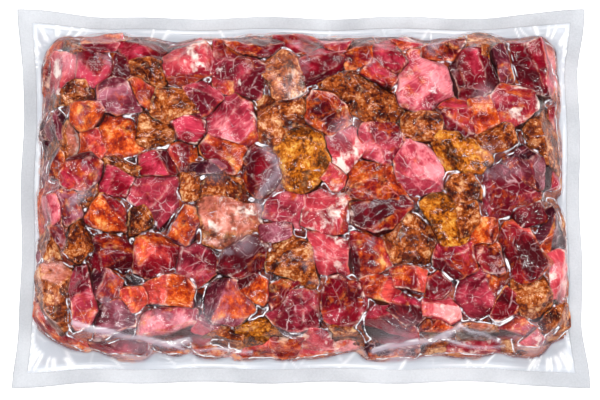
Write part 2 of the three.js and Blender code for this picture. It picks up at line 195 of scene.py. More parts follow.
# Each die of the top layer: centre x and y, length, width, turn in degrees, and cut
LAYOUT = (
    # the back row, from left to right
    (-141, 91, 16, 11, 20, Cut.SPICED), (-125, 93, 22, 11, -8, Cut.PINK), (-96, 87, 34, 14, 0, Cut.LEAN),
    (-26, 90, 32, 11, 5, Cut.LEAN), (2, 93, 34, 12, 0, Cut.LEAN), (22, 92, 16, 9, 0, Cut.PINK),
    (34, 86, 20, 17, 80, Cut.SMEARED), (69, 93, 18, 11, 20, Cut.FATTY), (85, 89, 30, 13, -5, Cut.SMEARED),
    (111, 90, 14, 13, -30, Cut.SPICED), (137, 78, 34, 23, -78, Cut.LEAN), (124, 78, 20, 9, -70, Cut.DULL),
    (55, 83, 18, 15, -60, Cut.LEAN),
    # the second row
    (-148, 75, 31, 18, 80, Cut.FATTY), (-124, 77, 27, 25, -20, Cut.LEAN), (-109, 75, 14, 12, 70, Cut.LEAN),
    (-94, 75, 20, 15, -12, Cut.SPICED), (-70, 78, 28, 24, 35, Cut.FATTY), (-62, 60, 22, 20, -55, Cut.PINK),
    (-37, 74, 32, 27, -8, Cut.PINK), (-10, 71, 27, 19, -65, Cut.PALE), (13, 77, 30, 27, 8, Cut.LEAN),
    (47, 73, 18, 13, -35, Cut.LEAN), (76, 66, 35, 32, -30, Cut.PINK), (106, 75, 29, 27, 35, Cut.LEAN),
    # the third row
    (-135, 60, 27, 15, -10, Cut.SPICED), (-113, 58, 26, 17, -28, Cut.DULL),
    (-99, 65, 22, 13, -35, Cut.SMEARED),
    (-130, 46, 17, 15, 0, Cut.DULL), (-75, 53, 26, 19, -10, Cut.SPICED), (-71, 38, 22, 12, -15, Cut.LEAN),
    (-42, 42, 34, 27, -30, Cut.PINK), (-47, 24, 24, 20, -50, Cut.SMEARED), (-19, 45, 25, 20, 80, Cut.SPICED),
    (-2, 48, 18, 16, 0, Cut.SPICED), (16, 47, 27, 18, -35, Cut.SMEARED), (42, 58, 38, 24, -28, Cut.SPICED),
    (20, 64, 14, 10, 20, Cut.SPICED), (73, 40, 20, 18, -3, Cut.SPICED), (97, 45, 21, 17, -65, Cut.LEAN),
    (112, 48, 18, 15, -60, Cut.SMEARED), (130, 51, 29, 24, -38, Cut.FATTY), (119, 33, 17, 13, 15, Cut.SPICED),
    (148, 35, 34, 17, -78, Cut.SPICED),
    # the fourth row
    (-150, 39, 14, 12, 50, Cut.DULL), (-143, 31, 20, 16, 60, Cut.PALE), (-128, 29, 20, 17, -35, Cut.SMEARED),
    (-110, 34, 31, 27, -15, Cut.SMEARED), (-85, 34, 28, 19, -35, Cut.SPICED), (2, 19, 38, 30, -50, Cut.OCHRE),
    (27, 26, 28, 20, 50, Cut.FATTY), (50, 30, 25, 21, -35, Cut.PINK), (98, 23, 27, 24, 10, Cut.OCHRE),
    (72, 12, 30, 25, -65, Cut.PINK), (137, 15, 27, 21, -50, Cut.DULL),
    # the fifth row
    (-133, 10, 23, 20, -45, Cut.LEAN), (-153, 6, 16, 12, 80, Cut.PINK), (-149, 18, 16, 9, -80, Cut.DULL),
    (-108, 13, 22, 8, -22, Cut.SPICED), (-111, 5, 24, 15, -18, Cut.LEAN), (-87, -4, 35, 29, -42, Cut.PINK),
    (-71, 20, 22, 18, 15, Cut.SMEARED), (-87, 16, 17, 12, 12, Cut.LEAN), (-58, 12, 24, 8, 8, Cut.DULL),
    (-66, 1, 16, 13, -10, Cut.SPICED), (-27, 12, 23, 22, -30, Cut.LEAN), (-44, -1, 31, 15, -10, Cut.SPICED),
    (19, 9, 15, 10, -40, Cut.FATTY), (44, 7, 34, 22, -15, Cut.SMEARED), (98, 1, 19, 14, -60, Cut.SPICED),
    (125, -2, 33, 28, -12, Cut.PINK),
    # the sixth row
    (-141, -10, 24, 14, -80, Cut.DULL), (-129, -4, 11, 13, 0, Cut.SPICED),
    (-116, -13, 28, 17, -10, Cut.SMEARED),
    (-153, -14, 20, 11, -80, Cut.PINK), (-154, -33, 18, 10, -75, Cut.SPICED),
    (-147, -26, 22, 8, -70, Cut.DULL),
    (-99, -18, 14, 11, 20, Cut.SPICED), (-69, -21, 17, 12, 60, Cut.DULL), (-45, -19, 37, 24, -6, Cut.PALE),
    (-9, -10, 24, 19, 75, Cut.PINK), (16, -12, 32, 22, -18, Cut.FATTY), (48, -14, 30, 17, 12, Cut.LEAN),
    (-16, -26, 17, 10, 10, Cut.DULL), (66, -29, 32, 26, -15, Cut.SPICED), (88, -17, 27, 19, -60, Cut.OCHRE),
    (100, -15, 18, 11, -80, Cut.SPICED), (111, -25, 15, 12, 0, Cut.SMEARED),
    (150, -26, 20, 16, -60, Cut.DULL),
    (139, -16, 14, 9, 20, Cut.LEAN),
    # the seventh row
    (-134, -30, 19, 17, 45, Cut.SPICED), (-116, -41, 29, 27, -40, Cut.LEAN),
    (-88, -41, 29, 24, -25, Cut.SMEARED),
    (-80, -61, 28, 18, -8, Cut.SMEARED), (-62, -45, 24, 20, -25, Cut.PINK), (-34, -45, 25, 24, -25, Cut.LEAN),
    (-6, -44, 31, 21, -28, Cut.SPICED), (17, -39, 26, 20, -25, Cut.FATTY), (40, -39, 25, 23, 0, Cut.LEAN),
    (94, -42, 23, 17, 5, Cut.LEAN), (115, -40, 19, 12, -60, Cut.SMEARED),
    (132, -37, 29, 26, -55, Cut.SMEARED),
    (157, -55, 30, 10, -88, Cut.FATTY), (66, -55, 27, 11, -3, Cut.SMEARED),
    # the eighth row
    (-150, -63, 34, 23, -60, Cut.PALE), (-132, -64, 32, 14, -82, Cut.PINK),
    (-119, -59, 17, 14, -30, Cut.DULL),
    (-112, -75, 20, 17, 5, Cut.DULL), (-102, -67, 12, 12, 0, Cut.SMEARED), (-82, -81, 36, 20, -14, Cut.PINK),
    (-57, -82, 17, 10, 0, Cut.FATTY), (-47, -68, 34, 20, -8, Cut.DULL), (-28, -59, 17, 11, -35, Cut.SMEARED),
    (-12, -61, 18, 11, 30, Cut.LEAN), (-1, -73, 34, 22, 10, Cut.PINK), (26, -68, 24, 23, -30, Cut.LEAN),
    (50, -60, 28, 13, -12, Cut.SMEARED), (64, -71, 23, 19, -25, Cut.LEAN), (84, -72, 22, 18, 15, Cut.FATTY),
    (82, -58, 13, 12, 40, Cut.LEAN), (107, -63, 34, 30, -42, Cut.PINK), (124, -71, 15, 11, 60, Cut.SMEARED),
    (140, -64, 25, 24, 20, Cut.SPICED), (154, -76, 22, 12, 35, Cut.SPICED),
    # the front row
    (-47, -90, 22, 15, 0, Cut.SPICED), (-25, -90, 23, 21, -20, Cut.OCHRE), (3, -93, 27, 14, -5, Cut.FATTY),
    (28, -88, 18, 12, -55, Cut.SPICED), (51, -85, 32, 24, -20, Cut.LEAN), (79, -84, 26, 13, 8, Cut.SMEARED),
    (109, -87, 24, 13, -5, Cut.PALE), (128, -84, 20, 15, -20, Cut.PINK), (137, -93, 16, 10, 35, Cut.FATTY),
)


@dataclass(frozen=True)
class Die:
    """One hand-cut die, as it lies in plan."""

    x: float
    y: float
    long: float
    wide: float
    turn: float
    cut: Cut
    index: int

    def reach(self, ux: float, uy: float) -> float:
        """How far the die reaches from its centre along a direction.

        Args:
            ux: the direction's x.
            uy: the direction's y.

        Returns:
            The distance.
        """
        along = abs(ux * math.cos(self.turn) + uy * math.sin(self.turn))
        across = abs(uy * math.cos(self.turn) - ux * math.sin(self.turn))
        return (self.long * along + self.wide * across) / 2

    def corners(self, spread: float) -> list[Point]:
        """Corners of the die's rectangle, drawn over its size by spread.

        Args:
            spread: how many times its size.

        Returns:
            The corners in order.
        """
        cos, sin = math.cos(self.turn), math.sin(self.turn)
        found = []
        for along, across in ((1, 1), (-1, 1), (-1, -1), (1, -1)):
            a, b = along * self.long * spread / 2, across * self.wide * spread / 2
            found.append((self.x + a * cos - b * sin, self.y + a * sin + b * cos))
        return found


def cut_polygon(polygon: list[Point], nx: float, ny: float, limit: float) -> list[Point]:
    """Keep the part of a convex polygon where nx * x + ny * y is at most limit.

    Args:
        polygon: corners in order.
        nx: normal of the cutting line, first part.
        ny: normal of the cutting line, second part.
        limit: where the line lies along its normal.

    Returns:
        The corners of what is left.
    """
    kept = []
    for i, (x, y) in enumerate(polygon):
        next_x, next_y = polygon[(i + 1) % len(polygon)]
        here = nx * x + ny * y - limit
        there = nx * next_x + ny * next_y - limit
        if here <= 0:
            kept.append((x, y))
        if here * there < 0:
            share = here / (here - there)
            kept.append((x + share * (next_x - x), y + share * (next_y - y)))
    return kept


@dataclass
class Heap:
    """The heap of dice: its outline, its crown, and how the dice share the room in it."""

    # Outline in plan: its size, how its ends splay, and what is cut off its corners
    length: float = 325.0
    width: float = 199.0
    offset: float = -1.2
    splay: float = 0.055
    back_corner: float = 11.0
    front_corner: float = 17.0
    # Heights, and how far the sides lean in above the seam and below it
    crown_height: float = 38.8
    shoulder_height: float = 26.0
    shoulder_run: float = 36.0
    seam_height: float = 8.0
    wall_lean: float = 7.0
    wall_turn: float = 0.7
    foot_inset: float = 9.0
    # How the dice share the room, and how their sides lean and their edges round
    spread: float = 1.34
    gap_range: Point = (-6.0, -0.5)
    neighbour_reach: float = 60.0
    shortest_side: float = 0.5
    side_lean: float = 0.45
    edge_round: float = 48.0
    # The top layer: its place, the depth of its dice, their lift and tilt, and their facets by area
    top_offset: float = 4.0
    top_depth: float = 17.0
    slope_step: float = 6.0
    lift_range: float = 4.5
    tilt_range: float = 0.34
    pivot: float = 4.0
    facet_areas: tuple[float, ...] = (150.0, 300.0, 560.0)
    facet_tilts: Point = (0.34, 0.8)
    # The base layer: its rows, how its dice stray, turn and step back, and their facets
    base_top: float = 23.0
    base_gap: float = 0.4
    base_columns: int = 10
    base_rows: int = 6
    base_stray: float = 0.45
    base_turn: float = 1.2
    base_setback: float = 3.5
    base_pivot: float = 6.0
    base_knee: float = 3.0
    base_facets: int = 2
    base_facet_tilt: Point = (0.5, 0.87)
    base_facet_bite: float = 2.0

    def top_dice(self) -> list[Die]:
        """The dice of the top layer, from the layout.

        Returns:
            The dice.
        """
        return [
            Die(x, y + self.offset, long, wide, math.radians(turn), cut, index)
            for index, (x, y, long, wide, turn, cut) in enumerate(LAYOUT)
        ]

    def base_dice(self) -> list[Die]:
        """The dice of the base layer, of the common size in loose rows.

        Returns:
            The dice.
        """
        kinds = (Cut.LEAN, Cut.SMEARED, Cut.PINK, Cut.DULL, Cut.SPICED, Cut.SMEARED, Cut.FATTY)
        pitch_x, pitch_y = self.length / self.base_columns, self.width / self.base_rows
        dice = []
        for index in range(self.base_columns * self.base_rows):
            column = index % self.base_columns + 0.5 + self.base_stray * (draw(index, 4) - 0.5)
            row = index // self.base_columns + 0.5 + self.base_stray * (draw(index, 5) - 0.5)
            dice.append(
                Die(
                    x=pitch_x * column - self.length / 2,
                    y=pitch_y * row - self.width / 2 + self.offset,
                    long=pitch_x * (1 + self.base_stray * draw(index, 6)),
                    wide=pitch_y * (1 + self.base_stray * draw(index, 7)),
                    turn=self.base_turn * (draw(index, 8) - 0.5),
                    cut=kinds[int(draw(index, 11) * len(kinds))],
                    index=index,
                )
            )
        return dice

    def outline(self, inset: float, offset: float) -> list[tuple[float, float, float]]:
        """Lines that bound the heap in plan.

        Args:
            inset: how far they are drawn in.
            offset: how far they are moved back.

        Returns:
            Normal x, normal y and limit of each line, with unit normals.
        """
        half_length, half_width = self.length / 2 - inset, self.width / 2 - inset
        centre = self.offset + offset
        lines = []
        for side in (-1, 1):
            lines.append((side, self.splay, half_length))
            lines.append((0, side, half_width + side * centre))
            corner = self.back_corner if side > 0 else self.front_corner
            for end in (-1, 1):
                lines.append((end, side, half_length + half_width - corner + side * centre))
        return [tuple(part / math.hypot(*line[:2]) for part in line) for line in lines]

    def room(self, places: np.ndarray) -> np.ndarray:
        """How far inside the heap's outline each place lies in plan."""
        lines = np.array(self.outline(0.0, self.top_offset / 2))
        return (lines[:, 2] - places[:, :2] @ lines[:, :2].T).min(axis=1)

    def trimmed(self, die: Die, dice: list[Die]) -> list[Point]:
        """Cut a die back from each neighbour, on the line that shares the room by their sizes.

        Args:
            die: the die.
            dice: all the dice of its layer.

        Returns:
            Corners of its plan, in order.
        """
        polygon = die.corners(self.spread)
        for other in dice:
            away_x, away_y = other.x - die.x, other.y - die.y
            distance = math.hypot(away_x, away_y)
            if other is die or distance > self.neighbour_reach:
                continue
            ux, uy = away_x / distance, away_y / distance
            own = die.reach(ux, uy)
            share = own / (own + other.reach(ux, uy))
            low, high = self.gap_range
            first, last = sorted((die.index, other.index))
            gap = low + (high - low) * draw(first * 173 + last, 40)
            polygon = cut_polygon(polygon, ux, uy, ux * die.x + uy * die.y + distance * share - gap / 2)
        return polygon

    def crown(self, x: float, y: float) -> float:
        """Height of the heap's crown over a point.

        Args:
            x: the point's x.
            y: the point's y.

        Returns:
            The height.
        """
        middle = self.offset + self.top_offset
        room = min(self.length / 2 - abs(x), self.width / 2 - abs(y - middle))
        share = min(max(room / self.shoulder_run, 0.0), 1.0)
        rise = self.crown_height - self.shoulder_height
        return self.shoulder_height + rise * math.sin(share * math.pi / 2)

    def top_planes(self, die: Die, dice: list[Die]) -> tuple[np.ndarray, np.ndarray]:
        """Planes that bound a die of the top layer.

        Args:
            die: the die.
            dice: the top layer.

        Returns:
            One plane a row, as normal x, y, z and limit, with the top first, and the die's centre.
        """
        step = self.slope_step
        fall_x = (self.crown(die.x + step, die.y) - self.crown(die.x - step, die.y)) / (2 * step)
        fall_y = (self.crown(die.x, die.y + step) - self.crown(die.x, die.y - step)) / (2 * step)
        slope_x = fall_x + self.tilt_range * (draw(die.index, 1) - 0.5)
        slope_y = fall_y + self.tilt_range * (draw(die.index, 2) - 0.5)
        height = self.crown(die.x, die.y) + self.lift_range * (draw(die.index, 3) - 0.5)
        polygon = self.trimmed(die, dice)
        for line in self.outline(self.wall_lean / 2, self.top_offset / 2):
            polygon = cut_polygon(polygon, *line)
        x, y = np.mean(polygon, axis=0)
        top = height + slope_x * (x - die.x) + slope_y * (y - die.y)
        centre = np.array((x, y, top - self.top_depth / 2))
        planes = [(-slope_x, -slope_y, 1.0, height - slope_x * die.x - slope_y * die.y)]
        planes.append((0.0, 0.0, -1.0, self.top_depth - top))
        planes += self.walls(polygon, die, top - self.pivot)
        lean = self.wall_lean / (self.shoulder_height - self.seam_height) * (0.5 + 1.6 * draw(die.index, 26))
        back = self.wall_lean + self.base_setback * (draw(die.index, 27) - 0.6)
        outline = self.outline(back, self.top_offset)
        planes += self.wall_planes(die, (x, y), outline, lean, self.shoulder_height - self.pivot)
        area = die.long * die.wide
        facets = sum(area > least for least in self.facet_areas) - (draw(die.index, 41) > 0.6)
        for facet in range(facets):
            turn = math.tau * (draw(die.index, 12) + (0.28 + 0.2 * draw(die.index, 19)) * facet)
            low, high = self.facet_tilts
            tilt = low + (high - low) * draw(die.index, 13 + 7 * facet)
            nx, ny, nz = math.cos(turn) * math.sin(tilt), math.sin(turn) * math.sin(tilt), math.cos(tilt)
            across = nx - nz * slope_x, ny - nz * slope_y
            reach = die.reach(*across) * (0.15 + 0.45 * draw(die.index, 21 + facet))
            planes.append((nx, ny, nz, nx * x + ny * y + nz * top + reach))
        return np.array(planes), centre

    def walls(self, polygon: list[Point], die: Die, level: float) -> list[tuple[float, float, float, float]]:
        """Side planes of a die, one for each side of its plan, each leaning its own way about a level.

        Args:
            polygon: the plan's corners in order.
            die: the die.
            level: height at which they pass the plan.

        Returns:
            One plane for each side.
        """
        planes = []
        for i, (x, y) in enumerate(polygon):
            next_x, next_y = polygon[(i + 1) % len(polygon)]
            length = math.hypot(next_x - x, next_y - y)
            if length < self.shortest_side:
                continue
            nx, ny = (next_y - y) / length, (x - next_x) / length
            lean = self.side_lean * (draw(die.index * 7 + i, 14) - 0.25)
            planes.append((nx, ny, lean, nx * x + ny * y + lean * level))
        return planes

    def wall_planes(
        self, die: Die, middle: Point, lines: list[tuple[float, float, float]], lean: float, level: float
    ) -> list[tuple[float, float, float, float]]:
        """Planes that end a die at the heap's outline, each turned a little its own way.

        Args:
            die: the die.
            middle: its middle in plan.
            lines: the outline.
            lean: how far the planes lean in over a rise.
            level: height at which they pass the outline.

        Returns:
            One plane for each line that is near the die.
        """
        planes = []
        for side, (nx, ny, limit) in enumerate(lines):
            room = limit - nx * middle[0] - ny * middle[1]
            if room < self.shoulder_run:
                turn = self.wall_turn * (draw(die.index + 31 * side, 28) - 0.5)
                x, y = middle[0] + room * nx, middle[1] + room * ny
                nx, ny = nx * math.cos(turn) - ny * math.sin(turn), nx * math.sin(turn) + ny * math.cos(turn)
                planes.append((nx, ny, lean, nx * x + ny * y + lean * level))
        return planes

    def base_planes(self, die: Die, dice: list[Die]) -> tuple[np.ndarray, np.ndarray]:
        """Planes that bound a die of the base layer.

        Args:
            die: the die.
            dice: the base layer.

        Returns:
            One plane a row, as normal x, y, z and limit, with the top first, and the die's centre.
        """
        back = self.base_setback * draw(die.index, 9)
        top = self.base_top - 2 * self.base_setback * draw(die.index, 10)
        polygon = self.trimmed(die, dice)
        for line in self.outline(back, 0.0):
            polygon = cut_polygon(polygon, *line)
        x, y = np.mean(polygon, axis=0)
        centre = np.array((x, y, top / 2))
        slope_x = self.tilt_range * (draw(die.index, 36) - 0.5)
        slope_y = self.tilt_range * (draw(die.index, 37) - 0.5)
        planes = [(-slope_x, -slope_y, 1.0, top - slope_x * x - slope_y * y)]
        planes.append((0.0, 0.0, -1.0, -self.base_gap))
        planes += self.walls(polygon, die, top - self.base_pivot)
        foot = -self.foot_inset / self.seam_height
        lean = self.wall_lean / (self.shoulder_height - self.seam_height) * (0.6 + 1.4 * draw(die.index, 26))
        outline = self.outline(back, 0.0)
        planes += self.wall_planes(die, (x, y), outline, foot, self.seam_height)
        planes += self.wall_planes(die, (x, y), outline, lean, self.seam_height + self.base_knee)
        flat, steep = self.base_facet_tilt
        for facet in range(self.base_facets):
            turn = math.tau * (draw(die.index, 12) + 0.4 * facet)
            nx, ny, nz = math.cos(turn) * flat, math.sin(turn) * flat, steep
            reach = die.reach(nx, ny) * (0.3 + 0.5 * draw(die.index, 21 + facet))
            planes.append((nx, ny, nz, nx * x + ny * y + nz * top + reach - self.base_facet_bite))
        return np.array(planes), centre


@dataclass(frozen=True)
class MeatFinish:
    """Cured pork under film: moist, marbled, and rubbed with ground spice.

    The lean is dark red, and its tone drifts within a face. Fine pale veins cross it, fat turns it pale, and
    the rub lies on it as a powdery rust and ochre crust with pale flecks. Cream fat or orange oil shows along
    the edges, and the cream is also a painted highlight there. The sides and the foot of a die darken to dark
    juice: partly juice, and partly painted shade where the dice crowd together.
    """

    cut: Cut
    deep: str
    middle: str
    light: str
    fat: str
    marbling: float
    fat_share: float
    rub_share: float
    rub: tuple[str, str, str, str]
    # Pale colour along the edges: cream fat, and a painted highlight
    ridge: str = "#ffe6d8"
    ridge_share: float = 0.92
    fringe: str = "#d4600e"
    fleck: str = "#ecc090"
    vein: str = "#f2c8ca"
    # Colour of the juice, which the sides of a die also take as painted shade
    juice: str = "#1e0404"
    opacity: float = 0.9
    crust: float = 0.0
    grit: float = 0.9
    roughness: float = 0.3

    def build(self) -> bpy.types.Material:
        """Make the material.

        Returns:
            The material, which reads the attributes of the dice.
        """
        material = blank(f"cured_pork_{self.cut.value}")
        tree = material.node_tree
        grain = add(tree, "Attribute", out="Vector", attribute_name="grain")
        names = ("tone", "rim", "side", "ridge")
        tone, rim, side, ridge = (add(tree, "Attribute", out="Fac", attribute_name=name) for name in names)
        swayed = self.swayed(tree, grain)
        veined = self.veined(tree, swayed, grain, self.lean(tree, grain, tone))
        marbled = self.marbled(tree, swayed, veined)
        cover = self.cover(tree, grain, ridge, side)
        links = {SHARE: cover, UNDER: marbled, OVER: self.crusted(tree, grain)}
        rubbed = add(tree, "Mix", links, MIXED, data_type="RGBA")
        # Painted shade: the sides and foot of a die darken to the juice colour, where shade falls between the
        # dice
        soaked = add(tree, "MapRange", {VALUE: rim, LOW: 0.15, HIGH: 0.85, END: 0.92})
        links = {SHARE: soaked, UNDER: self.edged(tree, grain, ridge, rubbed), OVER: linear(self.juice)}
        wet = add(tree, "Mix", links, MIXED, data_type="RGBA")
        links = {"Vector": grain, "Scale": per_size(1.3), "Detail": 4.0, "Roughness": 0.65}
        fine = add(tree, "TexNoise", links)
        relief = add(tree, "MapRange", {VALUE: cover, START: 0.2})
        bump = add(tree, "Bump", {"Strength": relief, "Distance": 0.0008, "Height": fine})
        # The film lies on the meat, so the meat itself hardly shines
        links = {"Base Color": wet, "Roughness": self.roughness, "IOR": 1.4, "Specular IOR Level": 0.06}
        return closed(material, add(tree, "BsdfPrincipled", {**links, "Normal": bump}))

    def swayed(self, tree: bpy.types.NodeTree, grain: Socket) -> Socket:
        """Grain coordinates bent by 3 mm over 10 mm and by 0.7 mm over 3 mm, so that no line runs straight.

        Args:
            tree: the material's node tree.
            grain: coordinates that turn with each die.

        Returns:
            The bent coordinates.
        """
        bent = grain
        for size, sway in ((10.0, 0.005), (3.0, 0.0014)):
            wave = add(tree, "TexNoise", {"Vector": grain, "Scale": per_size(size)}, "Color")
            links = {0: wave, 1: (sway, sway, sway), 2: bent}
            bent = add(tree, "VectorMath", links, operation="MULTIPLY_ADD")
        return bent

    def lean(self, tree: bpy.types.NodeTree, grain: Socket, tone: Socket) -> Socket:
        """Colour of the lean: it drifts over 12 mm, and fibres 1 mm wide and 12 mm long run through it.

        Args:
            tree: the material's node tree.
            grain: coordinates that turn with each die.
            tone: how light the die is.

        Returns:
            The colour.
        """
        drift = add(tree, "TexNoise", {"Vector": grain, "Scale": per_size(12.0), "Detail": 3.0})
        along = add(tree, "Mapping", {"Vector": grain, "Scale": (0.09, 1.0, 1.0)})
        fibre = add(tree, "TexNoise", {"Vector": along, "Scale": per_size(1.1), "Detail": 3.0})
        drifted = add(tree, "Math", {0: drift, 1: 1.3, 2: tone}, operation="MULTIPLY_ADD")
        mixed = add(tree, "Math", {0: fibre, 1: 0.42, 2: drifted}, operation="MULTIPLY_ADD")
        share = add(tree, "MapRange", {VALUE: mixed, LOW: 0.99, HIGH: 1.62})
        stops = [(0.0, self.deep), (0.55, self.middle), (1.0, self.light)]
        return add(tree, "ValToRGB", {0: share}, stops=stops)

    def veined(self, tree: bpy.types.NodeTree, swayed: Socket, grain: Socket, lean: Socket) -> Socket:
        """Draw pale veins over the lean: 0.4 mm wide and 12 mm apart, with finer ones 5 mm apart, in patches.

        Args:
            tree: the material's node tree.
            swayed: the bent coordinates.
            grain: coordinates that turn with each die.
            lean: colour of the lean.

        Returns:
            The colour with its veins.
        """
        colour = lean
        for size, width, strength in ((12.0, 0.036, 1.0), (5.0, 0.05, 0.5)):
            links = {"Vector": swayed, "Scale": per_size(size)}
            edge = add(tree, "TexVoronoi", links, "Distance", feature="DISTANCE_TO_EDGE")
            line = add(tree, "MapRange", {VALUE: edge, HIGH: width, START: strength, END: 0.0})
            patch = add(tree, "TexNoise", {"Vector": grain, "Scale": per_size(size * 0.6), "Detail": 3.0})
            where = add(tree, "MapRange", {VALUE: patch, LOW: 0.44, HIGH: 0.62, END: self.marbling})
            vein = add(tree, "Math", {0: line, 1: where}, operation="MULTIPLY")
            links = {SHARE: vein, UNDER: colour, OVER: linear(self.vein)}
            colour = add(tree, "Mix", links, MIXED, data_type="RGBA")
        return colour

    def marbled(self, tree: bpy.types.NodeTree, swayed: Socket, under: Socket) -> Socket:
        """Lay patches of fat over the lean, 13 mm across at the most.

        Args:
            tree: the material's node tree.
            swayed: the bent coordinates.
            under: colour of the veined lean.

        Returns:
            The colour with its fat.
        """
        links = {"Vector": swayed, "Scale": per_size(13.0), "Detail": 5.0, "Roughness": 0.6}
        mass = add(tree, "TexNoise", links)
        limit = 0.70 - 0.30 * self.fat_share
        share = add(tree, "MapRange", {VALUE: mass, LOW: limit, HIGH: limit + 0.09, END: 0.9})
        return add(tree, "Mix", {SHARE: share, UNDER: under, OVER: linear(self.fat)}, MIXED, data_type="RGBA")

    def cover(self, tree: bpy.types.NodeTree, grain: Socket, ridge: Socket, side: Socket) -> Socket:
        """How much of the meat the rub covers: it keeps to some sides of a die, and gathers at its edges.

        Args:
            tree: the material's node tree.
            grain: coordinates that turn with each die.
            ridge: how near an edge is.
            side: draw of the side.

        Returns:
            The share that is covered.
        """
        links = {"Vector": grain, "Scale": per_size(7.0), "Detail": 7.0, "Roughness": 0.68}
        spread = add(tree, "TexNoise", links)
        sided = add(tree, "Math", {0: side, 1: 0.42, 2: spread}, operation="MULTIPLY_ADD")
        edged = add(tree, "Math", {0: ridge, 1: 0.16, 2: sided}, operation="MULTIPLY_ADD")
        limit = 1.0 - 0.75 * self.rub_share
        return add(tree, "MapRange", {VALUE: edged, LOW: limit, HIGH: limit + 0.2, END: self.opacity})

    def crusted(self, tree: bpy.types.NodeTree, grain: Socket) -> Socket:
        """Colour of the rub: ground spice in grains of about 1 mm, with pale flecks in places.

        Args:
            tree: the material's node tree.
            grain: coordinates that turn with each die.

        Returns:
            The colour.
        """
        powder = add(tree, "TexNoise", {"Vector": grain, "Scale": per_size(1.8), "Roughness": 0.8})
        links = {"Vector": grain, "Scale": per_size(9.0), "Detail": 4.0, "Roughness": 0.6}
        drift = add(tree, "TexNoise", links)
        ground = add(tree, "Math", {0: drift, 1: 1.5, 2: -0.2}, operation="MULTIPLY_ADD")
        mixed = add(tree, "Math", {0: powder, 1: self.grit, 2: ground}, operation="MULTIPLY_ADD")
        links = {VALUE: mixed, LOW: 0.15 + 0.45 * self.grit, HIGH: 0.95 + 0.55 * self.grit}
        share = add(tree, "MapRange", links)
        crust = add(tree, "ValToRGB", {0: share}, stops=list(zip((0.15, 0.38, 0.6, 0.9), self.rub)))
        grit = add(tree, "TexVoronoi", {"Vector": grain, "Scale": per_size(1.4)}, "Distance")
        speck = add(tree, "MapRange", {VALUE: grit, LOW: 0.12, HIGH: 0.34, START: 0.7, END: 0.0})
        patch = add(tree, "TexNoise", {"Vector": grain, "Scale": per_size(3.6), "Detail": 1.0})
        here = add(tree, "MapRange", {VALUE: patch, LOW: 0.5, HIGH: 0.64})
        flecked = add(tree, "Math", {0: speck, 1: here}, operation="MULTIPLY")
        links = {SHARE: flecked, UNDER: crust, OVER: linear(self.fleck)}
        return add(tree, "Mix", links, MIXED, data_type="RGBA")

    def edged(self, tree: bpy.types.NodeTree, grain: Socket, ridge: Socket, under: Socket) -> Socket:
        """Draw cream fat or orange oil along the edges, broken over 6 mm; the two change about over 11 mm.
        The cream is also a painted highlight on the edges.

        Args:
            tree: the material's node tree.
            grain: coordinates that turn with each die.
            ridge: how near an edge is.
            under: colour of the rubbed meat.

        Returns:
            The colour with its edges.
        """
        links = {"Vector": grain, "Scale": per_size(6.0), "Detail": 4.0, "Roughness": 0.7}
        breaks = add(tree, "TexNoise", links)
        broken = add(tree, "MapRange", {VALUE: breaks, LOW: 0.45, HIGH: 0.6, END: self.ridge_share})
        edge = add(tree, "Math", {0: ridge, 1: broken}, operation="MULTIPLY")
        change = add(tree, "TexNoise", {"Vector": grain, "Scale": per_size(11.0), "Detail": 3.0})
        oiled = add(tree, "MapRange", {VALUE: change, LOW: 0.44, HIGH: 0.58, END: 0.9})
        links = {SHARE: oiled, UNDER: linear(self.ridge), OVER: linear(self.fringe)}
        colour = add(tree, "Mix", links, MIXED, data_type="RGBA")
        return add(tree, "Mix", {SHARE: edge, UNDER: under, OVER: colour}, MIXED, data_type="RGBA")


# Colours of the rub from dark to pale: rust-brown, ochre, and orange-red where it is smeared thin
RUSTY = ("#120302", "#5a1c08", "#b4540c", "#ffcc94")
OCHREOUS = ("#160601", "#6c2c04", "#d07008", "#fcc85c")
SMEAR = ("#5c0c06", "#a42a0a", "#e05c0c", "#ffc070")
# Colour of the fat along the edges of a rubbed die, which is also a painted highlight there
CREAM_AND_SHEEN = "#f4bc84"

FINISHES = (
    MeatFinish(Cut.LEAN, "#4c020f", "#840219", "#d03c56", "#dc9490", 0.26, 0.02, 0.22, SMEAR, grit=0.6),
    MeatFinish(Cut.PINK, "#680a1c", "#b8364a", "#fc969e", "#ffeee4", 0.62, 0.2, 0.26, SMEAR, grit=0.6),
    MeatFinish(Cut.DULL, "#3a0a18", "#782434", "#b46878", "#ecc8cc", 0.5, 0.2, 0.32, SMEAR, grit=0.5),
    MeatFinish(Cut.FATTY, "#881024", "#d04450", "#f8a0a0", "#ffece0", 0.6, 0.52, 0.30, SMEAR, grit=0.6),
    MeatFinish(Cut.SMEARED, "#48020c", "#981020", "#f05c50", "#fccab0", 0.5, 0.18, 0.46, SMEAR, grit=0.7),
    MeatFinish(
        Cut.SPICED, "#4c080c", "#8c2c20", "#c06450", "#e8b090", 0.3, 0.22, 0.86, RUSTY,
        ridge=CREAM_AND_SHEEN, ridge_share=0.8, crust=0.6,
    ),
    MeatFinish(
        Cut.OCHRE, "#481804", "#a05018", "#e8a458", "#fcd8a0", 0.1, 0.10, 0.98, OCHREOUS,
        ridge=CREAM_AND_SHEEN, ridge_share=0.8, crust=0.6,
    ),
    MeatFinish(
        Cut.PALE, "#5c180c", "#c46c58", "#f8bcac", "#fff0e4", 0.4, 0.52, 0.56, RUSTY,
        ridge=CREAM_AND_SHEEN, ridge_share=0.8, crust=0.4,
    ),
)


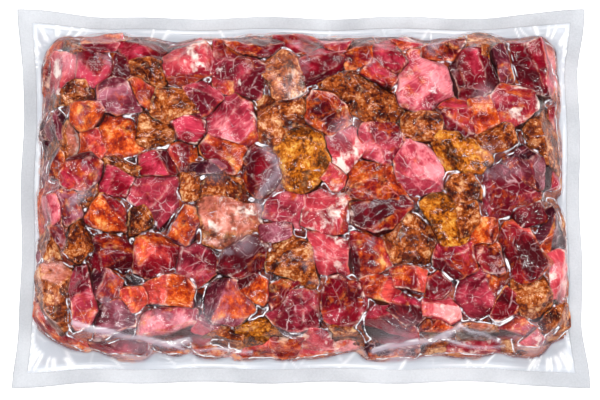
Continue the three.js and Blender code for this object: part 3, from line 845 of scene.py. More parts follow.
def finished(name: str, mesh: bpy.types.Mesh, material: bpy.types.Material) -> bpy.types.Object:
    """Put a finished mesh in the scene as a piece of the pack.

    Args:
        name: the piece's name.
        mesh: its mesh, in place.
        material: its finish.

    Returns:
        The piece.
    """
    mesh.name = name
    mesh.materials.clear()
    mesh.materials.append(material)
    mesh.shade_smooth()
    piece = bpy.data.objects.new(name, mesh)
    bpy.context.scene.collection.objects.link(piece)
    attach(piece, BODY)
    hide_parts(NODE)
    LOG.info("%s: %d triangles", name, sum(len(face.vertices) - 2 for face in mesh.polygons))
    return piece


def attribute(mesh: bpy.types.Mesh, name: str, values: np.ndarray) -> None:
    """Give a mesh a number or a vector at each vertex.

    Args:
        mesh: the mesh.
        name: the attribute's name.
        values: one row a vertex.
    """
    vector = values.ndim == 2
    layer = mesh.attributes.new(name, "FLOAT_VECTOR" if vector else "FLOAT", "POINT")
    layer.data.foreach_set("vector" if vector else "value", values.astype(np.float32).ravel())


# Where the noise of the three directions is read, so that they differ
DRIFT_OFFSETS = (Vector((0.0, 0.0, 0.0)), Vector((31.4, 7.9, 12.6)), Vector((-19.7, 43.3, 5.2)))


@dataclass
class Dice:
    """The dice in mesh: convex, with edges rounded by the pull of the film, and a relief by their cut."""

    heap: Heap = field(default_factory=Heap)
    fine_area: float = 140.0
    # Relief of the meat and of its crust, and the warps of the whole heap as wave and height
    relief_wave: float = 8.0
    relief_height: float = 0.4
    crust_wave: float = 2.3
    warps: tuple[Point, Point] = ((19.0, 2.8), (6.0, 0.8))
    floor_gap: float = 0.5
    # Where a side darkens to juice colour, as juice and painted shade: below the top, above the floor and
    # inside the heap's outline
    steep: float = 0.45
    upright_share: Point = (0.3, 0.8)
    shade_fall: Point = (0.6, 4.5)
    foot_rise: Point = (1.0, 4.5)
    shade_room: Point = (3.0, 14.0)
    ridge_width: Point = (0.03, 0.2)

    def ball(self, subdivisions: int) -> tuple[bpy.types.Mesh, np.ndarray]:
        """Make the ball that each die is shaped from.

        Args:
            subdivisions: how finely it is divided.

        Returns:
            The mesh, and the unit direction of each vertex.
        """
        bm = bmesh.new()
        bmesh.ops.create_icosphere(bm, subdivisions=subdivisions, radius=1.0)
        mesh = bpy.data.meshes.new("ball")
        bm.to_mesh(mesh)
        bm.free()
        directions = np.empty(len(mesh.vertices) * 3)
        mesh.vertices.foreach_get("co", directions)
        return mesh, directions.reshape(-1, 3)

    def shaped(
        self, die: Die, planes: np.ndarray, centre: np.ndarray, ball: np.ndarray
    ) -> dict[str, np.ndarray]:
        """Press the ball between the die's planes, and warp it as the whole heap is warped.

        Args:
            die: the die.
            planes: one plane a row, as normal x, y, z and limit.
            centre: the die's centre.
            ball: unit direction of each vertex.

        Returns:
            For each vertex its place, grain coordinates, tone, share of the juice colour that darkens it with
            depth below the top as juice and painted shade, draw of the side that it lies on, and how near an
            edge between two sides it is.
        """
        cos, sin = math.cos(die.turn), math.sin(die.turn)
        turned = np.array(((cos, sin, 0.0), (-sin, cos, 0.0), (0.0, 0.0, 1.0)))
        size = np.array((die.long, die.wide, self.heap.top_depth))
        ways = (ball * size / size.max()) @ turned
        ways /= np.linalg.norm(ways, axis=1, keepdims=True)
        away = planes[:, 3] - planes[:, :3] @ centre
        press = np.maximum(ways @ planes[:, :3].T / away, 0.0) ** self.heap.edge_round
        total = press.sum(axis=1, keepdims=True)
        local = ways * total ** (-1.0 / self.heap.edge_round)
        seed = Vector((die.index * 31.7, die.index * 17.3, die.index * 5.9))
        crust = next(finish.crust for finish in FINISHES if finish.cut is die.cut)
        lift = [
            self.relief_height * noise.noise(Vector(point) / self.relief_wave + seed)
            + crust * noise.fractal(Vector(point) / self.crust_wave + seed, 0.6, 2.2, 3)
            for point in local
        ]
        local = local + ways * np.array(lift)[:, None]
        spin = Euler((6.3 * draw(die.index, 15), 0.5 * draw(die.index, 16), 3.1 * draw(die.index, 17)))
        grain = (local @ np.array(spin.to_matrix()).T + np.array(seed) * 10.0) / METRE
        numbers = [die.index * 29 + face for face in range(len(away))]
        marks = [(draw(number, 24), draw(number, 25)) for number in numbers]
        shares = press / total @ np.array(marks)
        place = local + centre
        below = (planes[0, 3] - place @ planes[0, :3]) / np.linalg.norm(planes[0, :3])
        sides = (press / total)[:, 2 : 2 + sum(planes[2:, 2] < self.steep)].sum(axis=1)
        upright = smoothstep(sides, *self.upright_share)
        # A die of the base layer shows its clean face below too, free of the painted shade, where it is
        # pressed to the lower web
        rests = -planes[1, 3] < self.floor_gap
        lower = smoothstep(place[:, 2], *self.foot_rise) * upright if rests else 1.0
        # Painted shade, with juice: the upright sides darken below the top and the lower half darkens
        # underneath; it fades near the heap's outline
        rim = np.where(ways[:, 2] > 0, smoothstep(below, *self.shade_fall) * upright, lower)
        rim *= smoothstep(self.heap.room(place), *self.shade_room)
        for wave, size in self.warps:
            place += size * np.array([self.drift(Vector(point) / wave) for point in place])
        place[:, 2] = np.maximum(place[:, 2], self.floor_gap)
        tone = 0.25 * draw(die.index, 18) + 0.5 * shares[:, 0]
        # An edge at a side of the die counts in full, and one between two facets of its top by a share; the
        # edges take cream fat and a painted highlight
        ridge = smoothstep(1.0 - (press / total).max(axis=1), *self.ridge_width)
        ridge *= 0.3 + 0.7 * smoothstep(sides, 0.0, 0.4)
        return {
            "place": place,
            "grain": grain,
            "tone": tone,
            "rim": rim,
            "side": shares[:, 1],
            "ridge": ridge,
        }

    def drift(self, place: Vector) -> tuple[float, float, float]:
        """Noise in each of the three directions at a place."""
        return tuple(noise.noise(place + offset) for offset in DRIFT_OFFSETS)

    def build(self) -> list[bpy.types.Object]:
        """Build all the dice, one piece for each cut.

        Returns:
            The pieces.
        """
        balls = {level: self.ball(level) for level in (4, 5)}
        top, base = self.heap.top_dice(), self.heap.base_dice()
        pieces = []
        for finish in FINISHES:
            bm = bmesh.new()
            parts = []
            for die in top:
                if die.cut is finish.cut:
                    level = 5 if die.long * die.wide > self.fine_area else 4
                    bm.from_mesh(balls[level][0])
                    parts.append(self.shaped(die, *self.heap.top_planes(die, top), balls[level][1]))
            for die in base:
                if die.cut is finish.cut:
                    bm.from_mesh(balls[4][0])
                    parts.append(self.shaped(die, *self.heap.base_planes(die, base), balls[4][1]))
            mesh = bpy.data.meshes.new(finish.cut.value)
            bm.to_mesh(mesh)
            bm.free()
            joined = {key: np.concatenate([part[key] for part in parts]) for key in parts[0]}
            mesh.vertices.foreach_set("co", (joined.pop("place") / METRE).astype(np.float32).ravel())
            for name, values in joined.items():
                attribute(mesh, name, values)
            pieces.append(finished(f"dice_{finish.cut.value}", mesh, finish.build()))
        for mesh, _ in balls.values():
            bpy.data.meshes.remove(mesh)
        return pieces


@dataclass
class Bag:
    """The clear bag: two webs of film, drawn down over the dice and welded along the seal."""

    high: Vector
    # The seal, and the height of the seam at the heap and at the cut edge
    seal_width: float = 9.5
    seam_height: float = 8.0
    edge_height: float = 3.4
    edge_wave: float = 1.9
    root_inset: float = 6.0
    # How far the vacuum draws the cut edges in between the corners
    back_pull: float = 5.5
    front_pull: float = 3.4
    side_pull: float = 4.4
    corner_run: float = 0.36
    ripple: float = 0.7
    # The grid of the film, and how it is drawn down in rounds from a first height
    pitch: float = 1.0
    suction: float = 0.16
    rounds: int = 320
    first_drop: float = 4.0
    first_fall: float = 30.0
    heap: Heap = field(default_factory=Heap)

    def nodes(self, pitch: float) -> dict[str, np.ndarray]:
        """Places of the film's grid, drawn in between the corners as the vacuum draws it.

        Args:
            pitch: distance between grid lines.

        Returns:
            Arrays of x, y, the share of the way out across the margin, the level of the seam, and the
            distance to the cut edge.
        """
        half_x, half_y = self.high.x * METRE, self.high.y * METRE
        columns, rows = round(2 * half_x / pitch), round(2 * half_y / pitch)
        u, v = np.meshgrid(np.linspace(-1, 1, columns + 1), np.linspace(-1, 1, rows + 1))
        back_or_front = np.where(v > 0, self.back_pull, self.front_pull)
        x = u * half_x - u**3 * self.edge_pull(v, self.side_pull, 9 * v + 2 * np.sign(u))
        y = v * half_y - v**3 * self.edge_pull(u, back_or_front, 14 * u)
        root_x, root_y = self.heap.length / 2 - self.root_inset, self.heap.width / 2 - self.root_inset
        out_x = (np.abs(u) * half_x - root_x) / (half_x - root_x)
        out_y = (np.abs(v) * half_y - root_y) / (half_y - root_y)
        out = np.clip(np.maximum(out_x, out_y), 0.0, 1.0)
        wave = self.edge_wave * (0.6 * np.sin(x / 17 + y / 31) + 0.4 * np.sin(y / 13 - x / 41 + 1))
        level = self.seam_height + out * (self.edge_height - self.seam_height + wave)
        edge = np.minimum(half_x * (1 - np.abs(u)), half_y * (1 - np.abs(v)))
        return {"x": x, "y": y, "out": out, "level": level, "edge": edge}

    def edge_pull(self, share: np.ndarray, full: np.ndarray | float, ripple: np.ndarray) -> np.ndarray:
        """How far the vacuum has drawn a cut edge in, at a share of the way to its corner."""
        return smoothstep(1 - np.abs(share), 0.0, self.corner_run) * (full + self.ripple * np.sin(ripple))

    def heights(self, grid: dict[str, np.ndarray], tree: BVHTree, way: int) -> np.ndarray:
        """Height of the dice at each grid point, seen from above or from below.

        Args:
            grid: the film's grid.
            tree: the dice.
            way: 1 from above, -1 from below.

        Returns:
            The height, or nan where there are no dice.
        """
        start, ray = 0.1 * way, Vector((0.0, 0.0, -way))
        found = np.full(grid["x"].size, np.nan)
        for i, (x, y) in enumerate(zip(grid["x"].ravel() / METRE, grid["y"].ravel() / METRE)):
            hit = tree.ray_cast(Vector((x, y, start)), ray)[0]
            if hit is not None:
                found[i] = hit.z * METRE
        return found.reshape(grid["x"].shape)

    def drawn(self, grid: dict[str, np.ndarray], bed: np.ndarray, suction: float) -> np.ndarray:
        """Draw a web of film down on to its bed.

        Args:
            grid: the film's grid.
            bed: the lowest that the film may lie.
            suction: how far each round draws a free point under the mean of its neighbours.

        Returns:
            The height of the film.
        """
        film = np.maximum(bed, bed.max() - self.first_drop - self.first_fall * grid["out"])
        fixed = grid["edge"] < self.seal_width
        for _ in range(self.rounds):
            padded = np.pad(film, 1, mode="edge")
            mean = (padded[:-2, 1:-1] + padded[2:, 1:-1] + padded[1:-1, :-2] + padded[1:-1, 2:]) / 4
            film = np.maximum(bed, mean - suction)
            film[fixed] = bed[fixed]
        return film

    def sheet(
        self, name: str, grid: dict[str, np.ndarray], height: np.ndarray, keep: np.ndarray
    ) -> bpy.types.Mesh:
        """Make a mesh of the grid at the given heights.

        Args:
            name: the mesh's name.
            grid: places of its points.
            height: their heights.
            keep: which points stay.

        Returns:
            The mesh, with each vertex's row in the grid's arrays under the attribute node.
        """
        rows, columns = grid["x"].shape
        places = np.stack((grid["x"], grid["y"], height), axis=-1) / METRE
        bm = bmesh.new()
        layer = bm.verts.layers.int.new("node")
        bmesh.ops.create_grid(bm, x_segments=columns - 1, y_segments=rows - 1, size=1.0)
        dropped = []
        for vert in bm.verts:
            column = round((vert.co.x + 1) * (columns - 1) / 2)
            row = round((vert.co.y + 1) * (rows - 1) / 2)
            vert[layer] = row * columns + column
            vert.co = places[row, column]
            if not keep[row, column]:
                dropped.append(vert)
        bmesh.ops.delete(bm, geom=dropped, context="VERTS")
        mesh = bpy.data.meshes.new(name)
        bm.to_mesh(mesh)
        bm.free()
        return mesh


def softened(values: np.ndarray, rounds: int) -> np.ndarray:
    """Blur an array with its neighbours, a number of times.

    Args:
        values: the array.
        rounds: how often.

    Returns:
        The blurred array.
    """
    for _ in range(rounds):
        padded = np.pad(values, 1, mode="edge")
        across = padded[:, :-2] + padded[:, 1:-1] + padded[:, 2:]
        values = (across[:-2] + across[1:-1] + across[2:]) / 9
    return values


def mesh_nodes(mesh: bpy.types.Mesh) -> np.ndarray:
    """Row of each vertex in its grid's arrays.

    Args:
        mesh: a mesh of the grid, which loses the attribute node.

    Returns:
        The rows.
    """
    rows = np.empty(len(mesh.vertices), dtype=np.int32)
    mesh.attributes["node"].data.foreach_get("value", rows)
    mesh.attributes.remove(mesh.attributes["node"])
    return rows


@dataclass(frozen=True)
class FilmFinish:
    """Clear nylon and polyethylene vacuum film: colourless, glossy, and drawn tight over the meat.

    It shows as what it reflects. Painted white lines stand in for its highlights: broken ones where it leaves
    a die, and on the straight fine creases that the pull leaves in it. It looks milky lilac where it bridges
    a gap, and in soft clouds that are partly a painted sheen, and pale grey in the margin, where it lies
    double and its grey is partly painted shade.
    """

    name: str = "vacuum_film"
    clear: str = "#fcfcfd"
    milk: str = "#e2d4e4"
    # Grey of the margin, where the film lies double; partly painted shade
    grey: str = "#bac0c9"
    # White of the painted highlights: lines at the edges of the dice, on the creases and on the folds
    bright: str = "#ffffff"
    oil: str = "#e2861c"
    roughness: float = 0.12

    def build(self) -> bpy.types.Material:
        """Make the material.

        Returns:
            The material, which reads the attributes of the film.
        """
        material = blank(self.name)
        tree = material.node_tree
        place = add(tree, "TexCoord", out="Object")
        names = ("haze", "gleam", "strip")
        haze, gleam, strip = (add(tree, "Attribute", out="Fac", attribute_name=name) for name in names)
        # Painted highlights: white lines where the film leaves a die, on fine creases, and the painted glints
        lines = {0: self.painted_edge_highlight(tree, place), 1: self.painted_crease_highlights(tree, place, strip)}
        line = add(tree, "Math", lines, operation="MAXIMUM")
        shown = add(tree, "Math", {0: gleam, 1: line}, operation="MAXIMUM")
        # Painted sheen: soft clouds of milky white over the meat
        links = {"Vector": place, "Scale": per_size(24.0), "Detail": 4.0, "Roughness": 0.55}
        clouds = add(tree, "TexNoise", links)
        painted_sheen = add(tree, "MapRange", {VALUE: clouds, LOW: 0.63, HIGH: 0.8, END: 0.34})
        hazy = add(tree, "Math", {0: haze, 1: painted_sheen}, operation="MAXIMUM")
        cloudy = add(tree, "Math", {0: hazy, 1: line}, operation="MAXIMUM")
        oil = self.oily(tree, place)
        covered = add(tree, "Math", {0: cloudy, 1: oil}, operation="MAXIMUM")
        bump = self.relief(tree, place)
        clear = add(tree, "BsdfTransparent", {"Color": linear(self.clear)})
        milk = add(tree, "BsdfDiffuse", {"Color": self.colour(tree, strip, shown, oil), "Normal": bump})
        body = add(tree, "MixShader", {0: covered, 1: clear, 2: milk})
        shine = add(tree, "BsdfGlossy", {"Roughness": self.roughness, "Normal": bump})
        facing = add(tree, "Fresnel", {"IOR": 1.5})
        share = add(tree, "MapRange", {VALUE: facing, LOW: 0.04, HIGH: 0.6, START: 0.018, END: 0.45})
        return closed(material, add(tree, "MixShader", {0: share, 1: body, 2: shine}))

    def colour(self, tree: bpy.types.NodeTree, strip: Socket, shown: Socket, oil: Socket) -> Socket:
        """Colour of the film where it isn't clear: milk, grey in the margin, white lines of painted highlight
        and orange oil.

        Args:
            tree: the material's node tree.
            strip: share of the clear margin.
            shown: share of the white lines of painted highlight.
            oil: share of the oil.

        Returns:
            The colour.
        """
        colour = linear(self.milk)
        for share, over in ((strip, self.grey), (shown, self.bright), (oil, self.oil)):
            links = {SHARE: share, UNDER: colour, OVER: linear(over)}
            colour = add(tree, "Mix", links, MIXED, data_type="RGBA")
        return colour

    def relief(self, tree: bpy.types.NodeTree, place: Socket) -> Socket:
        """Soft waves 5 mm across, and low ridges that wander where a wider noise crosses its middle.

        Args:
            tree: the material's node tree.
            place: where the film is.

        Returns:
            The bumped normal.
        """
        wide = add(tree, "TexNoise", {"Vector": place, "Scale": per_size(16.0), "Detail": 3.0})
        rise = add(tree, "MapRange", {VALUE: wide, LOW: 0.44, HIGH: 0.5})
        fall = add(tree, "MapRange", {VALUE: wide, LOW: 0.5, HIGH: 0.56, START: 1.0, END: 0.0})
        ridge = add(tree, "Math", {0: fall, 1: rise}, operation="MULTIPLY")
        waves = add(tree, "TexNoise", {"Vector": place, "Scale": per_size(5.0), "Detail": 1.0})
        height = add(tree, "Math", {0: waves, 1: 0.8, 2: ridge}, operation="MULTIPLY_ADD")
        return add(tree, "Bump", {"Strength": 0.25, "Distance": 0.0006, "Height": height})

    def painted_edge_highlight(self, tree: bpy.types.NodeTree, place: Socket) -> Socket:
        """Painted highlight: a white line about 0.6 mm wide, where the film leaves a die; it comes and goes
        over 7 mm.

        Args:
            tree: the material's node tree.
            place: where the film is.

        Returns:
            The share of the line.
        """
        touch = add(tree, "Attribute", out="Fac", attribute_name="touch")
        rise = add(tree, "MapRange", {VALUE: touch, LOW: 0.26, HIGH: 0.4})
        fall = add(tree, "MapRange", {VALUE: touch, LOW: 0.42, HIGH: 0.56, START: 1.0, END: 0.0})
        near = add(tree, "Math", {0: rise, 1: fall}, operation="MULTIPLY")
        links = {"Vector": place, "Scale": per_size(7.0), "Detail": 4.0, "Roughness": 0.7}
        breaks = add(tree, "TexNoise", links)
        broken = add(tree, "MapRange", {VALUE: breaks, LOW: 0.45, HIGH: 0.57})
        return add(tree, "Math", {0: near, 1: broken}, operation="MULTIPLY")

    def painted_crease_highlights(self, tree: bpy.types.NodeTree, place: Socket, strip: Socket) -> Socket:
        """Painted highlights on straight fine creases, 0.3 mm wide and about 15 mm long, that the pull leaves
        over the meat.

        Args:
            tree: the material's node tree.
            place: where the film is.
            strip: share of the clear margin, which has none of them.

        Returns:
            The share of the creases.
        """
        flat = add(tree, "Mapping", {"Vector": place, "Scale": (1.0, 1.0, 0.2)})
        links = {"Vector": flat, "Scale": per_size(15.0)}
        edge = add(tree, "TexVoronoi", links, "Distance", feature="DISTANCE_TO_EDGE")
        line = add(tree, "MapRange", {VALUE: edge, LOW: 0.004, HIGH: 0.018, START: 1.0, END: 0.0})
        links = {"Vector": place, "Scale": per_size(12.0), "Detail": 5.0, "Roughness": 0.65}
        breaks = add(tree, "TexNoise", links)
        broken = add(tree, "MapRange", {VALUE: breaks, LOW: 0.56, HIGH: 0.68, END: 0.45})
        over = add(tree, "MapRange", {VALUE: strip, HIGH: 0.5, START: 1.0, END: 0.0})
        part = add(tree, "Math", {0: line, 1: broken}, operation="MULTIPLY")
        return add(tree, "Math", {0: part, 1: over}, operation="MULTIPLY")

    def oily(self, tree: bpy.types.NodeTree, place: Socket) -> Socket:
        """Orange oil that creeps between the webs round the foot of the heap, in drips 11 mm across.

        Args:
            tree: the material's node tree.
            place: where the film is.

        Returns:
            The share of the oil.
        """
        foot = add(tree, "Attribute", out="Fac", attribute_name="foot")
        links = {"Vector": place, "Scale": per_size(11.0), "Detail": 4.0, "Roughness": 0.6}
        drip = add(tree, "TexNoise", links)
        soaked = add(tree, "Math", {0: foot, 1: 0.5, 2: drip}, operation="MULTIPLY_ADD")
        wet = add(tree, "MapRange", {VALUE: soaked, LOW: 0.8, END: 0.85})
        return add(tree, "Math", {0: wet, 1: foot}, operation="MULTIPLY")


@dataclass(frozen=True)
class SealFinish:
    """The welded margin: two webs pressed together by a ribbed heated bar, which leaves them frosted."""

    dim: str = "#b1b4ba"
    bright: str = "#cacdd2"
    clear: str = "#f2f3f5"
    cover: float = 0.86

    def build(self) -> bpy.types.Material:
        """Make the material: dots 1 mm across, on a frost that drifts over 40 mm.

        Returns:
            The material.
        """
        material = blank("welded_seal")
        tree = material.node_tree
        place = add(tree, "TexCoord", out="Object")
        dots = add(tree, "TexNoise", {"Vector": place, "Scale": per_size(1.1)})
        bump = add(tree, "Bump", {"Strength": 0.5, "Distance": 0.0004, "Height": dots})
        wide = add(tree, "TexNoise", {"Vector": place, "Scale": per_size(40.0)})
        band = add(tree, "MapRange", {VALUE: wide, LOW: 0.4, HIGH: 0.62})
        dotted = add(tree, "Math", {0: dots, 1: 1.4, 2: band}, operation="MULTIPLY_ADD")
        share = add(tree, "MapRange", {VALUE: dotted, LOW: 0.3, HIGH: 1.9})
        links = {SHARE: share, UNDER: linear(self.dim), OVER: linear(self.bright)}
        colour = add(tree, "Mix", links, MIXED, data_type="RGBA")
        clear = add(tree, "BsdfTransparent", {"Color": linear(self.clear)})
        links = {"Base Color": colour, "Roughness": 0.45, "Specular IOR Level": 0.2, "Normal": bump}
        frost = add(tree, "BsdfPrincipled", links)
        return closed(material, add(tree, "MixShader", {0: self.cover, 1: clear, 2: frost}))


@dataclass(frozen=True)
class JuiceFinish:
    """Cured meat's juice with oil and spice in it: dark, glossy, red-brown to orange."""

    dark: str = "#280808"
    red: str = "#80240e"
    orange: str = "#c4580e"
    oil: str = "#eca038"

    def build(self) -> bpy.types.Material:
        """Make the material.

        Returns:
            The material, which reads the spice attribute of the juice.
        """
        material = blank("spiced_juice")
        tree = material.node_tree
        place = add(tree, "TexCoord", out="Object")
        spice = add(tree, "Attribute", out="Fac", attribute_name="spice")
        links = {"Vector": place, "Scale": per_size(9.0), "Detail": 5.0, "Roughness": 0.6}
        swirl = add(tree, "TexNoise", links)
        amount = add(tree, "Math", {0: spice, 1: 0.45, 2: swirl}, operation="MULTIPLY_ADD")
        stops = [(0.47, self.dark), (0.6, self.red), (0.8, self.orange), (1.0, self.oil)]
        colour = add(tree, "ValToRGB", {0: amount}, stops=stops)
        links = {"Base Color": colour, "Roughness": 0.2, "IOR": 1.38}
        return closed(material, add(tree, "BsdfPrincipled", links))


# Where the film stands off the meat and looks milky, which is also a painted sheen: x, y, radius and strength
MILKY_SHEEN = (
    (-143, 79, 13, 1.0), (27, 36, 12, 0.9), (-34, -35, 10, 0.8), (124, 12, 10, 0.6),
    (-59, -81, 16, 0.9), (-16, 5, 11, 0.7), (112, 58, 10, 0.8), (60, -94, 22, 0.8),
    (-100, -92, 26, 0.7), (140, -88, 16, 0.7), (-8, 62, 9, 0.5), (-52, 8, 9, 0.5),
)


# Creases where the film stands up off the meat: half width, strength, and the points that each runs through
CREASES = (
    (
        1.7, 0.9,
        ((-138, -82), (-128, -86), (-118, -87), (-108, -89), (-97, -90), (-86, -93), (-80, -94), (-68, -91)),
    ),
    (0.9, 0.6, ((-80, -94), (-68, -97), (-50, -96), (-30, -98))),
    (1.6, 0.85, ((44, -97), (52, -95), (62, -94), (71, -93), (80, -91), (90, -88), (96, -84))),
    (0.8, 0.6, ((86, -90), (95, -93), (104, -95), (114, -95), (124, -94))),
    (0.8, 0.5, ((96, -84), (102, -87), (112, -88), (122, -92))),
    (2.6, 0.4, ((-22, 24), (-15, 16), (-14, 9), (-20, 2), (-26, -6), (-23, -16))),
)


@dataclass
class Wrapping:
    """The juice and the bag, drawn over the dice."""

    bag: Bag
    dice: list[bpy.types.Object]
    # The webs: their gaps to the dice and to each other, and how far they reach into the seal
    clearance: float = 0.35
    web_gap: float = 0.25
    crease_height: float = 1.4
    back_pitch: float = 2.0
    back_suction: float = 0.3
    web_lap: float = 0.6
    back_lap: float = 1.2
    seal_lap: float = 0.2
    seal_thickness: float = 0.5
    # Folds of the margin: fans at the corners, and single folds along the sides
    corner_folds: int = 11
    corner_fan: float = 34.0
    fan_inset: float = 14.0
    fan_radius: float = 15.0
    long_folds: int = 30
    short_folds: int = 18
    fold_insets: Point = (12.0, 4.0)
    fold_lean: float = 30.0
    fold_height: float = 0.9
    # The juice: its depth under the film, and its spice over the heap, towards the foot and below
    juice_depth: float = 1.8
    juice_least: float = 0.3
    juice_reach: float = 0.45
    steepest: float = 4.0
    spice: Point = (0.17, 0.48)
    spice_run: Point = (22.0, 16.0)
    under_spice: float = 0.3
    # How much the film shows: over gaps, in milky places that are partly a painted sheen, on creases, in the
    # margin, whose grey is partly painted shade, and on the painted glints
    bridge_haze: float = 0.11
    bridge_run: Point = (2.0, 7.0)
    milky_sheen_haze: float = 0.66
    crease_haze: float = 0.55
    strip_haze: float = 0.82
    strip_run: float = 2.0
    gleam_haze: float = 0.95
    touch_gap: float = 1.2
    # Heights over the margin between which oil shows at the foot, and where it starts to fade
    foot_rise: float = 0.8
    foot_top: float = 6.0
    foot_fade: float = 3.0

    def tree(self) -> BVHTree:
        """All the dice as one search tree.

        Returns:
            The tree.
        """
        bm = bmesh.new()
        for piece in self.dice:
            bm.from_mesh(piece.data)
        found = BVHTree.FromBMesh(bm)
        bm.free()
        return found

    def folds(self) -> list[tuple[Vector, Vector, float, float]]:
        """Folds of the clear strip: they fan at the corners, and run out from the filling along the sides.

        Returns:
            Start at the filling, end at the seal, half width and strength of each fold.
        """
        seal = Vector((self.bag.high.x * METRE, self.bag.high.y * METRE)) - Vector((self.bag.seal_width,) * 2)
        filling = Vector((self.bag.heap.length, self.bag.heap.width)) / 2
        inset_along, inset_across = self.fold_insets
        found = []
        index = 0
        for end_x, end_y in ((-1, -1), (-1, 1), (1, -1), (1, 1)):
            for step in range(self.corner_folds):
                share = (step + draw(index, 31)) / self.corner_folds
                angle = (share * 0.8 - 0.15) * math.pi
                start = filling - Vector((self.fan_inset,) * 2)
                start += self.fan_radius * Vector((math.cos(angle), math.sin(angle)))
                stop = seal - Vector((max(2 * share - 1, 0.0), max(1 - 2 * share, 0.0))) * self.corner_fan
                flip = Vector((end_x, end_y))
                strength = 0.35 + 0.65 * draw(index, 33)
                found.append((start * flip, stop * flip, 0.5 + 1.1 * draw(index, 32), strength))
                index += 1
        for count, along_y in ((self.long_folds, False), (self.short_folds, True)):
            for end in (-1, 1):
                for step in range(count):
                    share = 2 * (step + draw(index, 31)) / count - 1
                    lean = self.fold_lean * (draw(index, 34) - 0.5)
                    side, across = (filling.y, filling.x) if along_y else (filling.x, filling.y)
                    limit = seal.x if along_y else seal.y
                    start = Vector((share * (side - inset_along), end * (across - inset_across)))
                    stop = Vector((share * (side - inset_along) + lean, end * limit))
                    if along_y:
                        start, stop = start.yx, stop.yx
                    found.append((start, stop, 0.4 + 0.9 * draw(index, 32), 0.7 * draw(index, 33) ** 3))
                    index += 1
        return found

    def folded(self, grid: dict[str, np.ndarray]) -> np.ndarray:
        """Height of the folds of the clear strip over the film's grid, from 0 to 1.

        Args:
            grid: the film's grid.

        Returns:
            The height at each point.
        """
        x, y = grid["x"], grid["y"]
        total = np.zeros(x.shape)
        for start, stop, half_width, strength in self.folds():
            run = stop - start
            along = ((x - start.x) * run.x + (y - start.y) * run.y) / run.length_squared
            bow = 1.6 * np.sin(np.pi * np.clip(along, 0, 1)) * (draw(int(start.x * 7 + stop.y), 35) - 0.5)
            off = ((x - start.x) * run.y - (y - start.y) * run.x) / run.length - bow
            reach = smoothstep(along, -0.1, 0.2) * smoothstep(1.05 - along, 0.0, 0.4)
            total = np.maximum(total, strength * reach * np.exp(-((off / half_width) ** 2)))
        seam = np.exp(-(((grid["edge"] - self.bag.seal_width - 1.3) / 0.8) ** 2))
        flicker = 0.5 + 0.5 * np.sin(x / 13 + np.sin(y / 7)) * np.sin(y / 17 + 2)
        return np.maximum(total, 0.7 * seam * flicker)

    def creased(self, grid: dict[str, np.ndarray]) -> tuple[np.ndarray, np.ndarray]:
        """Creases of the film over the dice.

        Args:
            grid: the film's grid.

        Returns:
            How high each point stands on a crease, and how bright the painted highlight on its crest is
            there, both from 0 to 1.
        """
        x, y = grid["x"], grid["y"]
        body, crest = np.zeros(x.shape), np.zeros(x.shape)
        for half_width, strength, points in CREASES:
            for (x0, y0), (x1, y1) in zip(points, points[1:]):
                run = math.hypot(x1 - x0, y1 - y0)
                along = np.clip(((x - x0) * (x1 - x0) + (y - y0) * (y1 - y0)) / run**2, 0.0, 1.0)
                off_x, off_y = x - x0 - along * (x1 - x0), y - y0 - along * (y1 - y0)
                away = np.hypot(off_x, off_y)
                body = np.maximum(body, strength * np.exp(-((away / half_width) ** 2)))
                # Painted highlight: a bright line along the back side of each crease
                shift = np.hypot(off_x, off_y - half_width * 0.9)
                crest = np.maximum(crest, strength * np.exp(-((shift / 0.6) ** 2)))
        flicker = 0.5 + 0.5 * np.sin(x / 5 + 2 * np.sin(y / 9 + x / 17))
        return body, crest * flicker

    def build(self) -> list[bpy.types.Object]:
        """Build the juice, the two webs and the seal.

        Returns:
            The pieces.
        """
        tree = self.tree()
        grid = self.bag.nodes(self.bag.pitch)
        heights = self.bag.heights(grid, tree, 1)
        folds = self.folded(grid)
        margin = grid["level"] + self.web_gap + self.fold_height * folds
        bed = np.fmax(heights + self.clearance, margin)
        film = self.bag.drawn(grid, bed, self.bag.suction)
        creased = self.creased(grid)
        film = film + self.crease_height * creased[0]
        back = self.bag.nodes(self.back_pitch)
        under = self.underside(back, tree)
        return [
            self.juice(grid, film, back, under),
            self.web(grid, film, heights, margin, folds, creased),
            self.back_web(back, under),
            self.seal(grid),
        ]

    def underside(self, grid: dict[str, np.ndarray], tree: BVHTree) -> np.ndarray:
        """Height of the lower web, which is flat on the table and turned up to the seam.

        Args:
            grid: the lower web's grid.
            tree: the dice.

        Returns:
            The height at each point.
        """
        below = self.bag.heights(grid, tree, -1) - self.clearance
        margin = grid["level"] - self.web_gap
        bed = -np.fmin(np.fmax(below, 0.0), margin)
        return -self.bag.drawn(grid, bed, self.back_suction)

    def juice(
        self, grid: dict[str, np.ndarray], film: np.ndarray, back: dict[str, np.ndarray], under: np.ndarray
    ) -> bpy.types.Object:
        """The juice that fills what the dice leave under the film, above and below.

        Args:
            grid: the film's grid.
            film: height of the upper web.
            back: the lower web's grid.
            under: height of the lower web.

        Returns:
            The piece.
        """
        filled = film - grid["level"] > self.web_gap + self.juice_depth + self.juice_least
